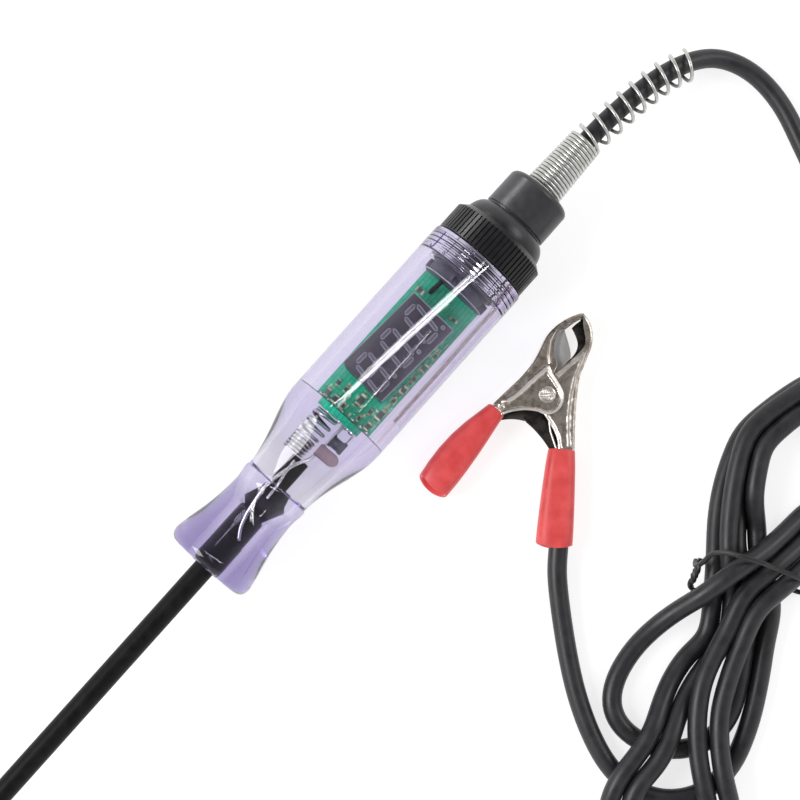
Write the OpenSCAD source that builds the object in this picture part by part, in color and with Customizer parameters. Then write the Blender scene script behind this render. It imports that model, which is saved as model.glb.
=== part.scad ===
// Digital circuit tester: insulated probe, clear moulded handle with a three-digit display,
// screwed cap with a spring strain relief, and a lead in a tied hank that ends in a clip.
// +X runs from the probe's point to the cap, +Z is up, and the tester lies on z = 0.

/* [Probe] */
// Length of the probe in front of the handle
probe_out = 96; // [70:1:130]
// Bare steel at the point
bare_len = 20; // [14:1:30]
// Length of the ground point
point_len = 9; // [5:0.5:12]
// Radius of the steel rod
rod_r = 1.4; // [1.1:0.05:1.6]
// Radius of the insulating sleeve
sleeve_r = 2.5; // [2.3:0.05:2.6]
// Radius of the sleeve where it runs through the neck
sleeve_rear_r = 2.25; // [2.1:0.05:2.3]

/* [Handle] */
// Length of the clear moulding
handle_len = 91.9; // [85:0.1:105]
// Share of that length in front of the barrel
neck_share = 0.479; // [0.47:0.001:0.49]
// Radius of the barrel
barrel_r = 12.4; // [12:0.1:14]
// Radius of the barrel's bore
barrel_bore_r = 9.7; // [9.5:0.1:10.5]
// Radius of the nose flare
flare_r = 10.75; // [9.5:0.05:12]
// Radius of the waist behind the nose
waist_r = 8.15; // [7.6:0.05:8.4]
// Radius of the bore that holds the probe
nose_bore_r = 3.8; // [3.7:0.05:4.4]
// Radius of the threaded mouth at the thread's crests
mouth_r = 8.8; // [8.7:0.05:9.2]
// Length of the threaded mouth
mouth_len = 4.9; // [4:0.1:6]

/* [Board and display] */
// Width of the circuit board
board_w = 16; // [14.5:0.1:16.2]
// Thickness of the boards
board_t = 1.6; // [1:0.1:1.7]
// Length of the display block
display_len = 22.5; // [22:0.1:24]
// Width of the display block
display_w = 11.5; // [11:0.1:12]
// Height of the display block
display_h = 7.2; // [5:0.1:7.6]
// Height of a digit
digit_h = 8.6; // [7:0.1:9]
// Distance from digit to digit
digit_pitch = 7.6; // [7.4:0.05:7.8]
// Radius of the small round board
front_board_r = 5.9; // [5.5:0.1:6.4]

/* [Cap] */
// Radius of the knurled ring
ring_r = 12; // [11.5:0.1:12.4]
// Length of the knurled ring
ring_len = 6.7; // [6:0.1:8]
// Number of ribs round the ring
rib_count = 64; // [40:2:72]
// Depth of the grooves between the ribs
rib_depth = 0.35; // [0.2:0.05:0.5]
// Radius of the cap's neck
neck_r = 8; // [7.5:0.1:8.5]
// Length of the cap's neck with its small groove
neck_len = 9.7; // [8:0.1:12]

/* [Cable and spring] */
// Diameter of the cable
cable_d = 4.5; // [4:0.1:4.7]
// Diameter of the spring's wire
spring_wire_d = 1; // [0.8:0.05:1.03]
// Outer radius of the spring in the cap
spring_base_r = 4.95; // [4.7:0.05:5.2]
// Outer radius of the spring's open coil
spring_open_r = 4.05; // [4:0.01:4.1]
// Height of the cable's hank
hank_h = 9; // [8.6:0.1:10]

/* [Clip] */
// Thickness of the clip's sheet steel
sheet_t = 0.6; // [0.4:0.05:0.7]
// Width over the moving half's side plates
clip_w = 6.8; // [6.4:0.1:7.2]
// Radius of the rivet
rivet_r = 1.25; // [1:0.05:1.35]
// Angle of the clip on the table
clip_angle = 17.1; // [15:0.1:20]
// Length of the moving half's grip
grip_len = 22.6; // [20:0.2:26]

/* [Hidden] */
$fn = 64;

// Clearances
slide = 0.05;
gap = 0.1;
clear = 0.3;

// Places along the handle, measured from the nose face
shoulder_end = neck_share * handle_len;
boot_len = 15;
neck_wall = 23.7;
rod_end = shoulder_end - 11.4;
chamber_end = shoulder_end + 1.3;
mouth_start = handle_len - mouth_len;
spigot_len = mouth_len - 0.4;

// The board reaches from the chamber's front into the plug behind it
plug_len = 4.6;
plug_hold = 1.5;
plug_start = handle_len - spigot_len - plug_len;
board_start = chamber_end;
board_end = plug_start + plug_hold;

// The tester's own frame: its axis lies above the middle of the table
cap_len = ring_len + 5.2 + neck_len;
total_len = probe_out + handle_len + cap_len;
nose_x = probe_out - total_len / 2;
axis_z = barrel_r;

// Heights of the boards, measured from the axis
board_top = -1.5;
board_bottom = board_top - board_t;
display_top = board_top + display_h;
display_start = board_start + 8.3;
display_mid = display_start + display_len / 2;
display_turn = -3;
display_y = 0.3;
pocket_depth = 0.4;

// The cap's places, measured from the handle's rear face
cap_x = nose_x + handle_len;
cap_end = cap_x + cap_len;
spigot_r = mouth_r - 0.35;
neck_start = cap_len - neck_len;
seat_depth = 5;
seat_r = spring_base_r + 0.15;
cable_bore_r = cable_d / 2 + 0.15;
hollow_r = 6.8;
hollow_end = 4.1;
plug_r = mouth_r - clear;

// The clip's own frame: the rivet is its origin, and the jaws point along +X
clip_x = 71.6;
clip_y = -31.5;
rivet_head_h = 0.5;
clip_z = clip_w / 2 + slide + rivet_head_h;
handle_root = [-8.4, -10.8];
handle_end = [[-21, -15.3], [-22.2, -12]];
handle_mid = (handle_end[0] + handle_end[1]) / 2;
inner_w = clip_w - 2 * sheet_t - 2 * clear;
pivot_bore_r = rivet_r + slide;
ear_r = 3.4;
grip_h = clip_w + 1;
grip_overhang = 9.3;

function unit(v) = v / norm(v);

// Points along a cubic curve, without its first point
function curve(a, b, c, d, steps = 8) = [
    for (i = [1 : steps]) let (t = i / steps, s = 1 - t)
        s * s * s * a + 3 * s * s * t * b + 3 * s * t * t * c + t * t * t * d
];

// Points along an arc, without its first point
function arc(centre, r, from, to, steps = 8) = [
    for (i = [1 : steps]) let (a = from + (to - from) * i / steps)
        centre + r * [cos(a), sin(a)]
];

// A point at u along a smooth curve through a list of points; u counts the points
function on_route(p, u) =
    let (
        last = len(p) - 1,
        i = min(floor(u), last - 1),
        t = u - i,
        b = p[i],
        c = p[i + 1],
        a = i > 0 ? p[i - 1] : 2 * b - c,
        d = i + 2 <= last ? p[i + 2] : 2 * c - b
    )
    0.5 * (2 * b + (c - a) * t + (2 * a - 5 * b + 4 * c - d) * t * t
        + (3 * b - a - 3 * c + d) * t * t * t);
function smooth(p, per_span) = [for (i = [0 : (len(p) - 1) * per_span]) on_route(p, i / per_span)];

// The direction of a list of points at point i
function heading(p, i) = unit(p[min(i + 1, len(p) - 1)] - p[max(i - 1, 0)]);

// A round bar along a list of points; ref is a direction that the bar never takes
module bar_along(p, r, sides = 8, ref = [0, 0, 1]) {
    rings = len(p);
    points = [
        for (i = [0 : rings - 1])
            let (t = heading(p, i), s = unit(cross(t, ref)), u = cross(s, t))
            for (j = [0 : sides - 1])
                p[i] + r * (cos(360 * j / sides) * s + sin(360 * j / sides) * u)
    ];
    walls = [
        for (i = [0 : rings - 2]) for (j = [0 : sides - 1])
            let (k = (j + 1) % sides, a = i * sides, b = a + sides)
            each [[a + j, a + k, b + k], [a + j, b + k, b + j]]
    ];
    first = [for (j = [sides - 1 : -1 : 0]) j];
    last = [for (j = [0 : sides - 1]) (rings - 1) * sides + j];
    polyhedron(points, concat([first], walls, [last]), convexity = 10);
}

// Turns a profile of [distance, radius] points round the tester's axis, from x0 on
module turned_part(profile, x0) {
    translate([x0, 0, axis_z])
        rotate([0, 90, 0])
            rotate_extrude($fn = 96)
                polygon([for (p = profile) [p[1], p[0]]]);
}

// A plain round bar along the axis
module round_bar(x0, x1, r) {
    translate([x0, 0, axis_z])
        rotate([0, 90, 0])
            cylinder(r = r, h = x1 - x0);
}

// Places children in the handle's frame: nose face at x = 0, axis at z = 0
module in_handle() {
    translate([nose_x, 0, axis_z]) children();
}

// The probe

module probe_needle() {
    tip_r = 0.25;
    length = probe_out + rod_end;
    color("silver")
        turned_part([
            [0, 0], [0, tip_r], [point_len, rod_r], [length, rod_r], [length, 0]
        ], nose_x - probe_out);
}

module probe_sleeve() {
    front = probe_out - bare_len;
    edge = 0.4;
    bore_r = rod_r + slide;
    color([0.06, 0.06, 0.07])
        turned_part([
            [-front, bore_r], [-front, sleeve_r - edge], [-front + edge, sleeve_r],
            [boot_len, sleeve_r], [boot_len, sleeve_rear_r], [rod_end, sleeve_rear_r],
            [rod_end, bore_r]
        ], nose_x);
}

// The boot fills the nose bore, is cut away at one side, and ends in a slanted lug
module probe_boot() {
    boot_r = nose_bore_r - 0.08;
    bore_r = sleeve_r + slide;
    rear_bore_r = sleeve_rear_r + slide;
    side_wall = 0.35;
    relief_start = 7.5;
    flat_start = 8.5;
    flat_z = bore_r + 0.2;
    lug_h = rear_bore_r + 0.45;
    lug = [
        [boot_len - 1, -2.4], [boot_len + 0.2, -2.5], [neck_wall - 3.4, -4.7],
        [neck_wall - 0.3, -3.6], [neck_wall - 0.3, 2], [boot_len + 2.6, 3.6], [boot_len - 1, 0.7]
    ];
    color([0.08, 0.08, 0.08])
        difference() {
            union() {
                difference() {
                    round_bar(nose_x - 0.3, nose_x + boot_len, boot_r);
                    in_handle()
                        translate([relief_start, -2 * boot_r - bore_r - side_wall, -boot_r])
                            cube([boot_len, 2 * boot_r, 2 * boot_r]);
                    in_handle()
                        translate([flat_start, -boot_r, flat_z])
                            cube([boot_len, 2 * boot_r, boot_r]);
                }
                in_handle()
                    translate([0, 0, -lug_h]) linear_extrude(2 * lug_h) polygon(lug);
            }
            round_bar(nose_x + boot_len - 1, nose_x + neck_wall + 1, rear_bore_r);
            round_bar(nose_x - 1, nose_x + boot_len, bore_r);
        }
}

// The clear handle: one revolved moulding with a waisted nose and stepped bores

function handle_outside() = concat(
    [[0, flare_r - 2.4]],
    curve([0, flare_r - 2.4], [0, flare_r - 0.9], [0.9, flare_r], [2.6, flare_r], 6),
    curve([2.6, flare_r], [7, flare_r - 0.45], [11, waist_r + 0.15], [neck_wall - 3.7, waist_r], 8),
    [[neck_wall - 2, waist_r + 0.15], [neck_wall - 1.7, waist_r + 0.35],
     [neck_wall, waist_r + 0.35], [neck_wall, waist_r + 0.05]],
    curve([neck_wall, waist_r + 0.05], [shoulder_end - 12.5, waist_r + 0.45],
          [shoulder_end - 6.5, barrel_r], [shoulder_end, barrel_r], 12),
    [[handle_len - 0.4, barrel_r], [handle_len, barrel_r - 0.4]]
);

function handle_inside() = [
    [handle_len, mouth_r + 0.5], [handle_len - 0.5, mouth_r], [mouth_start, mouth_r],
    [mouth_start - 0.6, barrel_bore_r], [chamber_end, barrel_bore_r],
    [chamber_end, barrel_bore_r - 0.6], [neck_wall + 0.8, nose_bore_r + 3.2],
    [neck_wall, nose_bore_r + 3], [neck_wall, nose_bore_r + 2.1],
    [neck_wall - 3.7, nose_bore_r + 1.8], [boot_len, nose_bore_r], [0.5, nose_bore_r],
    [0, nose_bore_r + 0.3]
];

module handle_shell() {
    color([0.72, 0.66, 0.86, 0.45])
        turned_part(concat(handle_outside(), handle_inside()), nose_x);
}

// Wires and the coil in the neck

module probe_wire() {
    wire_r = 0.35;
    route = [
        [9.2, -1.4, 3.12], [11.4, -0.3, 3.14], [14.3, 0.5, 3.25], [rod_end - 12.7, 1.4, 3.45],
        [rod_end - 9.2, 1.6, 3.5], [rod_end - 5, 0.9, 3.4], [rod_end - 3.2, 0.45, 3.4],
        [rod_end - 1, -0.3, 3], [rod_end + 1, -1.3, 2.2], [rod_end + 2.6, -1.6, 1.75]
    ];
    color("silver")
        in_handle() bar_along(smooth(route, 2), wire_r, 6);
}

module link_wire() {
    wire_r = 0.3;
    route = [
        [rod_end - 12, -0.3, 3.3], [rod_end - 8.3, 0, 3.2], [rod_end - 4, 0.6, 2.65],
        [rod_end - 1.4, 0.8, 2.65]
    ];
    color("silver")
        in_handle() bar_along(smooth(route, 3), wire_r, 6);
}

// The coil pushes between the rod's end and the round board: close turns first, then open
module contact_spring() {
    wire_r = 0.4;
    close_turns = 5;
    open_turns = 3.5;
    close_pitch = 0.9;
    per_turn = 12;
    turns = close_turns + open_turns + 1;
    start = rod_end + gap + wire_r;
    finish = shoulder_end - 0.4 - gap - wire_r;
    open_pitch = (finish - start - close_turns * close_pitch) / open_turns;
    function place(turn) =
        turn < close_turns ? start + turn * close_pitch
        : min(start + close_turns * close_pitch + (turn - close_turns) * open_pitch, finish);
    route = [
        for (i = [0 : turns * per_turn])
            let (turn = i / per_turn, share = turn / turns, r = 2.4 + 0.45 * share,
                 drift = turn > turns - 1 ? 0.85 * (turn - turns + 1) : 0)
            [place(turn), 2.8 - 0.4 * share + (r - drift * 0.2) * cos(360 * turn),
             (r - drift) * sin(360 * turn)]
    ];
    color("gainsboro")
        in_handle() bar_along(route, wire_r, 6, [1, 0, 0]);
}

// The boards and what is on them

module front_board() {
    color([0.05, 0.45, 0.3])
        round_bar(nose_x + chamber_end - board_t, nose_x + chamber_end, front_board_r);
}

module indicator_lamp() {
    lamp_r = 1.5;
    lamp_x = rod_end + 4.4;
    lamp_z = 1.7;
    base_y = -1.2;
    body_len = 4;
    lead_r = 0.22;
    board_x = chamber_end - board_t - slide;
    color([0.75, 0.5, 0.45])
        in_handle()
            translate([lamp_x, base_y, lamp_z]) {
                rotate([90, 0, 0]) cylinder(r = lamp_r, h = body_len, $fn = 32);
                translate([0, -body_len, 0]) sphere(r = lamp_r, $fn = 32);
            }
    color("silver")
        in_handle()
            for (side = [-1, 1]) {
                z = lamp_z + 0.8 * side;
                translate([lamp_x + lamp_r - 0.3, base_y - 0.7, z])
                    rotate([0, 90, 0])
                        cylinder(r = lead_r, h = board_x - lamp_x - lamp_r + 0.3, $fn = 16);
            }
}

module input_resistor() {
    body_r = 1.1;
    end_r = 1.28;
    x = rod_end + 7.9;
    z = -1.2;
    top_y = -1.6;
    length = 4.2;
    lead_r = 0.25;
    board_x = chamber_end - board_t - slide;
    color([0.2, 0.19, 0.2])
        in_handle()
            translate([x, top_y, z])
                rotate([90, 0, 0]) {
                    cylinder(r = body_r, h = length, $fn = 32);
                    for (s = [0, length - 1]) translate([0, 0, s]) cylinder(r = end_r, h = 1, $fn = 32);
                }
    color("silver")
        in_handle()
            for (y = [top_y - 0.6, top_y - length + 0.6])
                translate([x + body_r - 0.1, y, z])
                    rotate([0, 90, 0])
                        cylinder(r = lead_r, h = board_x - x - body_r + 0.1, $fn = 16);
}

// The display's twelve pins, in two rows
pin_pitch = 2.54;
pin_row = 5.08;
pin_r = 0.25;
module at_pins() {
    translate([display_mid, display_y, 0])
        rotate([0, 0, display_turn])
            for (i = [-2.5 : 2.5]) for (side = [-1, 1])
                translate([i * pin_pitch, side * pin_row, 0]) children();
}

module circuit_board() {
    hole_r = pin_r + gap;
    color([0.05, 0.5, 0.32])
        in_handle()
            difference() {
                translate([board_start, -board_w / 2, board_bottom])
                    cube([board_end - board_start, board_w, board_t]);
                at_pins() translate([0, 0, board_bottom - 1]) cylinder(r = hole_r, h = board_t + 2, $fn = 16);
            }
}

module display_pins() {
    below = 1.2;
    color("silver")
        in_handle()
            at_pins()
                translate([0, 0, board_bottom - below])
                    cylinder(r = pin_r, h = board_t + below, $fn = 16);
}

// The seven bars and the point of one digit, as flat shapes; grow widens each of them
module digit_shapes(grow) {
    half_h = digit_h / 2;
    digit_w = 0.56 * digit_h;
    bar = 0.95;
    slant = 0.14;
    joint_gap = 0.3;
    half_w = digit_w / 2;
    bar_half = bar / 2 + grow;
    multmatrix([[1, slant, 0, 0], [0, 1, 0, 0], [0, 0, 1, 0], [0, 0, 0, 1]]) {
        for (y = [-half_h + bar / 2, 0, half_h - bar / 2]) {
            end = half_w - bar / 2 - joint_gap + grow;
            polygon([
                [-end, y], [-end + bar_half, y + bar_half], [end - bar_half, y + bar_half],
                [end, y], [end - bar_half, y - bar_half], [-end + bar_half, y - bar_half]
            ]);
        }
        for (x = [-half_w + bar / 2, half_w - bar / 2]) for (side = [-1, 1]) {
            mid = side * (half_h - bar / 2) / 2;
            end = (half_h - bar / 2) / 2 - joint_gap + grow;
            polygon([
                [x, mid - end], [x + bar_half, mid - end + bar_half],
                [x + bar_half, mid + end - bar_half], [x, mid + end],
                [x - bar_half, mid + end - bar_half], [x - bar_half, mid - end + bar_half]
            ]);
        }
    }
    translate([half_w + 0.4, -half_h + bar / 2]) circle(r = bar / 2 + grow, $fn = 24);
}

module all_digits(grow) {
    for (i = [-1 : 1]) translate([i * digit_pitch - 0.4, 0]) digit_shapes(grow);
}

// Places children on the display: its middle at x = y = 0, its top face at z = 0
module on_display() {
    in_handle()
        translate([display_mid, display_y, display_top])
            rotate([0, 0, display_turn]) children();
}

module display_module() {
    edge = 0.5;
    half = [display_len / 2, display_w / 2];
    color([0.16, 0.15, 0.17])
        on_display()
            difference() {
                translate([0, 0, -display_h])
                    linear_extrude(display_h)
                        polygon([
                            [-half[0], -half[1]], [half[0], -half[1]], [half[0], half[1]],
                            [-half[0] + edge, half[1]], [-half[0], half[1] - edge]
                        ]);
                translate([0, 0, -pocket_depth])
                    linear_extrude(pocket_depth + 1) all_digits(slide);
            }
}

module display_segments() {
    color([0.6, 0.6, 0.62])
        on_display()
            translate([0, 0, -pocket_depth])
                linear_extrude(pocket_depth - slide) all_digits(0);
}

// Chip parts on the board's top face: [along the board, across it, length, width, height]
rear_gap_x = (display_start + display_len + plug_start) / 2;
behind_display = rear_gap_x - board_start;
chip_parts = [
    [2, 5.9, 2, 1.25, 0.6], [2, 3.6, 2, 1.25, 0.6], [2, 1.2, 1.6, 0.8, 0.5],
    [5.6, -1, 2.9, 1.4, 1], [5.2, 3.2, 1.6, 0.8, 0.5], [5.2, 5.6, 1.6, 0.8, 0.5],
    [2.2, -3.4, 1.6, 0.8, 0.5], [5, -4.4, 1.6, 0.8, 0.5], [2.2, -6.2, 2, 1.25, 0.6],
    [6, -6.7, 2.9, 1.4, 1], [10.4, -6.8, 1.6, 0.8, 0.5], [13.6, -6.8, 2, 1.25, 0.6],
    [17, -6.9, 1.6, 0.8, 0.5], [20.4, -7, 2, 1.25, 0.6], [24, -7.1, 1.6, 0.8, 0.5],
    [behind_display, 5.7, 1.25, 2, 0.6], [behind_display, -4.6, 0.8, 1.6, 0.5]
];

module surface_parts() {
    cap_share = 0.22;
    for (c = chip_parts)
        in_handle()
            translate([board_start + c[0], c[1], board_top]) {
                color([0.12, 0.12, 0.12])
                    translate([-c[2] * (0.5 - cap_share), -c[3] / 2, 0])
                        cube([c[2] * (1 - 2 * cap_share), c[3], c[4]]);
                color("silver")
                    for (side = [-1, 1])
                        translate([side * c[2] * (0.5 - cap_share / 2) - c[2] * cap_share / 2,
                                   -c[3] / 2, 0])
                            cube([c[2] * cap_share, c[3], c[4]]);
            }
}

// The chip under the board, with gull-wing leads
module controller_chip() {
    body = [12.8, 7, 2.2];
    stand_off = 0.15;
    lead = [0.4, 1, 0.2];
    lead_pitch = 1.27;
    leads = 9;
    x = display_mid;
    in_handle()
        translate([x, 0, board_bottom]) {
            color([0.1, 0.1, 0.1])
                translate([-body[0] / 2, -body[1] / 2, -body[2] - stand_off]) cube(body);
            color("silver")
                for (i = [0 : leads - 1]) for (side = [-1, 1])
                    translate([(i - (leads - 1) / 2) * lead_pitch - lead[0] / 2, side * body[1] / 2, 0])
                        scale([1, side, 1])
                            translate([0, 0, -body[2] / 2])
                                union() {
                                    cube([lead[0], lead[2], body[2] / 2]);
                                    translate([0, 0, body[2] / 2 - lead[2]]) cube([lead[0], lead[1], lead[2]]);
                                }
        }
}

// The plug behind the board: it grips the board's end and lies against the cap's spigot
wire_hole = [3, 2.4];
module board_plug() {
    groove_w = 1;
    groove_at = 2.1;
    groove_depth = 0.9;
    notch_w = 2.2;
    notch_depth = 1.6;
    notches = 6;
    slot_len = board_end - plug_start + gap;
    slot_h = board_t + 2 * gap;
    wire_bore_r = 0.9;
    color([0.2, 0.2, 0.22])
        difference() {
            turned_part([
                [0, 0], [0, plug_r - 0.4], [0.4, plug_r], [groove_at, plug_r],
                [groove_at, plug_r - groove_depth], [groove_at + groove_w, plug_r - groove_depth],
                [groove_at + groove_w, plug_r], [plug_len, plug_r], [plug_len, 0]
            ], nose_x + plug_start);
            in_handle()
                for (i = [0 : notches - 1])
                    rotate([360 * i / notches, 0, 0])
                        translate([plug_start - 1, -notch_w / 2, plug_r - notch_depth])
                            cube([groove_at + 1, notch_w, notch_depth + 1]);
            in_handle()
                translate([plug_start - 1, -board_w / 2 - gap, board_bottom - gap])
                    cube([slot_len + 1, board_w + 2 * gap, slot_h]);
            in_handle()
                translate([plug_start - 1, wire_hole[0], wire_hole[1]])
                    rotate([0, 90, 0]) cylinder(r = wire_bore_r, h = plug_len + 2, $fn = 32);
        }
}

module ground_wire() {
    wire_r = 0.55;
    cable_start = handle_len + 3;
    route = [
        [cable_start - slide, 0, 0], [cable_start - 2, 0.5, 0.5],
        [handle_len - 2, wire_hole[0], wire_hole[1]],
        [plug_start - 0.5, wire_hole[0], wire_hole[1]],
        [rear_gap_x + 1, wire_hole[0] + 0.4, 0.8], [rear_gap_x, wire_hole[0] + 0.6, -0.85]
    ];
    color([0.1, 0.1, 0.1])
        in_handle() bar_along(smooth(route, 2), wire_r, 8);
}

// The cap: spigot, knurled ring, dome and neck turned in one, with the ribs cut round the ring

function cap_outside() = concat(
    [[-spigot_len, 0], [-spigot_len, spigot_r - 0.4], [-spigot_len + 0.4, spigot_r],
     [0, spigot_r], [0, ring_r - 0.3], [0.3, ring_r], [ring_len, ring_r],
     [ring_len + 1.3, ring_r - 1.6], [ring_len + 1.3, ring_r - 1.8]],
    curve([ring_len + 1.3, ring_r - 1.8], [ring_len + 3.2, ring_r - 2.1],
          [ring_len + 4.7, neck_r + 1.1], [neck_start, neck_r - 0.4], 8),
    [[neck_start, neck_r - 0.5], [neck_start + 0.5, neck_r - 0.5], [neck_start + 0.5, neck_r]],
    curve([cap_len - 1.8, neck_r], [cap_len - 0.8, neck_r], [cap_len, neck_r - 0.7],
          [cap_len, neck_r - 1.8], 6),
    [[cap_len, 0]]
);

module knurl_prism() {
    collar = 0.5;
    step = 360 / rib_count;
    low = ring_r - rib_depth;
    points = [
        for (i = [0 : rib_count - 1]) for (c = [[0, low], [0.2, low], [0.42, ring_r + 1], [0.78, ring_r + 1]])
            c[1] * [cos((i + c[0]) * step), sin((i + c[0]) * step)]
    ];
    rotate([0, 90, 0]) {
        translate([0, 0, collar]) linear_extrude(cap_len) polygon(points);
        translate([0, 0, -spigot_len - 1]) cylinder(r = ring_r + 1, h = spigot_len + 1 + collar);
    }
}

module end_cap() {
    color([0.09, 0.09, 0.09])
        difference() {
            intersection() {
                turned_part(cap_outside(), cap_x);
                translate([cap_x, 0, axis_z]) knurl_prism();
            }
            round_bar(cap_x - spigot_len - 1, cap_x + hollow_end, hollow_r);
            round_bar(cap_x, cap_end + 1, cable_bore_r);
            round_bar(cap_end - seat_depth, cap_end + 1, seat_r);
        }
}

// Points behind the cap, each [distance from it, y, share of the way up from the table]
cable_r = cable_d / 2;
function off_cap(points) = [
    for (p = points) [cap_end + p[0], p[1], cable_r + p[2] * (axis_z - cable_r)]
];

// Points of a cable that lies on the table
function on_table(points) = [for (p = points) [p[0], p[1], cable_r]];

// The cable leaves the cap through the spring and comes down to the table
lead_route = concat(
    off_cap([
        [3 - cap_len, 0, 1], [12 - cap_len, 0, 1], [1, 0, 1], [7.25, 0, 1], [13.25, 0, 0.995],
        [18.25, 0, 0.98], [23.25, -0.3, 0.94], [28.25, -0.8, 0.86], [32.25, -1.3, 0.78],
        [36.25, -1.9, 0.69], [40.25, -2.8, 0.585], [44.25, -4.1, 0.46], [48.25, -5.9, 0.29],
        [51.85, -8.6, 0.13], [54.25, -12.4, 0.03]
    ]),
    on_table([
        [160.2, -17], [160.1, -22.5], [158.6, -29], [155.6, -36], [150.6, -47], [144.5, -58.5],
        [137, -69], [129.5, -75.2], [123.7, -77.9]
    ])
);

// The lead from the hank to the end of the clip's fixed half, inside its grip
handle_way = unit(handle_root - handle_end[0]);
function on_handle(back) =
    let (p = handle_mid - back * handle_way)
    [clip_x + p[0] * cos(clip_angle) - p[1] * sin(clip_angle),
     clip_y + p[0] * sin(clip_angle) + p[1] * cos(clip_angle), clip_z];
clip_route = concat(
    on_table([[25.8, -80.9], [29.8, -75.4]]),
    [[34.6, -69.4, 2.6], [39.4, -63.8, 3.1], [43.4, -59.6, 3.6], on_handle(grip_overhang),
     on_handle(slide)]
);

module cable_lead() {
    color([0.07, 0.07, 0.08]) bar_along(smooth(lead_route, 2), cable_r, 10);
}

module clip_lead() {
    color([0.07, 0.07, 0.08]) bar_along(smooth(clip_route, 2), cable_r, 10);
}

// The hank is tied at its waist and has a lobe at each side of it
waist = [72, -93];
waist_half = 10.8;
left_lobe = [26.6, -106];
left_lobe_r = 23.6;
right_lobe = [105.3, -90.4];
right_lobe_r = 21.6;
tie_d = 1.2;
tie_angle = -62;
tie_corner = 2.4;

// The outline of a belt round two circles
module belt(c1, r1, c2, r2, steps = 20) {
    way = c2 - c1;
    a = atan2(way[1], way[0]);
    open = acos((r1 - r2) / norm(way));
    polygon(concat(
        arc(c1, r1, a + open - 0.01, a + 360 - open, steps),
        arc(c2, r2, a - open - 0.01, a + open, steps)
    ));
}

module cable_hank() {
    groove_depth = tie_d + 0.2;
    groove_w = tie_d + 0.4;
    x = waist_half - groove_depth;
    low = groove_depth;
    top = hank_h - groove_depth;
    cut = tie_corner - 0.3;
    color([0.07, 0.07, 0.08])
        difference() {
            linear_extrude(hank_h)
                difference() {
                    union() {
                        belt(left_lobe, left_lobe_r, waist, waist_half);
                        belt(right_lobe, right_lobe_r, waist, waist_half);
                    }
                    belt([102, -88], 6.5, [90, -87.4], 2);
                }
            translate([waist[0], waist[1], 0])
                rotate([0, 0, tie_angle])
                    difference() {
                        translate([-2 * waist_half, -groove_w / 2, -1])
                            cube([4 * waist_half, groove_w, hank_h + 2]);
                        translate([0, groove_w, 0])
                            rotate([90, 0, 0])
                                linear_extrude(2 * groove_w)
                                    polygon([
                                        [-x, low + cut], [-x + cut, low], [x - cut, low],
                                        [x, low + cut], [x, top - cut], [x - cut, top],
                                        [-x + cut, top], [-x, top - cut]
                                    ]);
                    }
        }
}

// One loop of wire in the hank's groove, with two short ends
module twist_tie() {
    r = tie_d / 2;
    half = waist_half - r - 0.1;
    top = hank_h - r - 0.1;
    corner = tie_corner;
    bottom = r + 0.05;
    tail = 6;
    route = [
        [-half - tail, 0, bottom + 3.4], [-half - tail / 2, 0, bottom + 4.6],
        [-half, 0, top - corner], [-half + corner, 0, top], [0, 0, top], [half - corner, 0, top],
        [half, 0, top - corner], [half, 0, bottom + corner], [half - corner, 0, bottom],
        [0, 0, bottom], [-half + corner, 0, bottom], [-half, 0, bottom + corner],
        [-half - 1.6, 0, bottom + 2.6], [-half - tail, 0, bottom + 1]
    ];
    color([0.06, 0.06, 0.07])
        translate([waist[0], waist[1], 0])
            rotate([0, 0, tie_angle])
                bar_along(smooth(route, 2), r, 6, [0, 1, 0]);
}

// The spring: close turns in the cap's seat and behind it, then an open coil round the cable
module strain_spring() {
    r = spring_wire_d / 2;
    per_turn = 12;
    close_pitch = spring_wire_d + 0.04;
    out_len = 15.5;
    close_turns = floor((out_len + seat_depth) / close_pitch);
    open_turns = 8.5;
    settle_turns = 0.75;
    start_x = cap_end - seat_depth + r + slide;
    close_end = start_x + close_turns * close_pitch;
    base_r = spring_base_r - r;
    open_r = spring_open_r - r;
    axis = off_cap([
        [close_end - cap_end, 0, 0.995], [19.25, -0.3, 0.975], [23.25, -0.8, 0.94],
        [27.25, -1.2, 0.88], [31.25, -1.7, 0.8], [35.25, -2.3, 0.725], [39.25, -3.1, 0.625],
        [43.05, -4.2, 0.52], [46.45, -5.6, 0.39]
    ]);
    function place(turn) =
        turn <= close_turns ? [start_x + turn * close_pitch, 0, axis_z]
        : on_route(axis, (turn - close_turns) / open_turns * (len(axis) - 1));
    function radius(turn) =
        turn <= close_turns
            ? base_r + (open_r + 0.1 - base_r) * turn / close_turns
            : open_r + 0.1 * max(0, 1 - (turn - close_turns) / settle_turns);
    function across(turn) =
        let (t = unit(place(turn + 0.05) - place(turn - 0.05)))
        unit(cross(t, [0, 0, 1]));
    route = [
        for (i = [0 : (close_turns + open_turns) * per_turn])
            let (turn = i / per_turn, s = across(turn), a = 360 * turn)
            place(turn) + radius(turn) * (cos(a) * s + sin(a) * [0, 0, 1])
    ];
    color("gainsboro") bar_along(route, r, 6, [1, 0, 0]);
}

// The clip lies on its side; each half is a channel of sheet steel

module in_clip() {
    translate([clip_x, clip_y, clip_z]) rotate([0, 0, clip_angle]) children();
}

// A line of points moved sideways by d, to the right of its direction
function beside(p, d) = [
    for (i = [0 : len(p) - 1])
        let (way = unit(p[min(i + 1, len(p) - 1)] - p[max(i - 1, 0)]))
        p[i] + d * [way[1], -way[0]]
];

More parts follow.
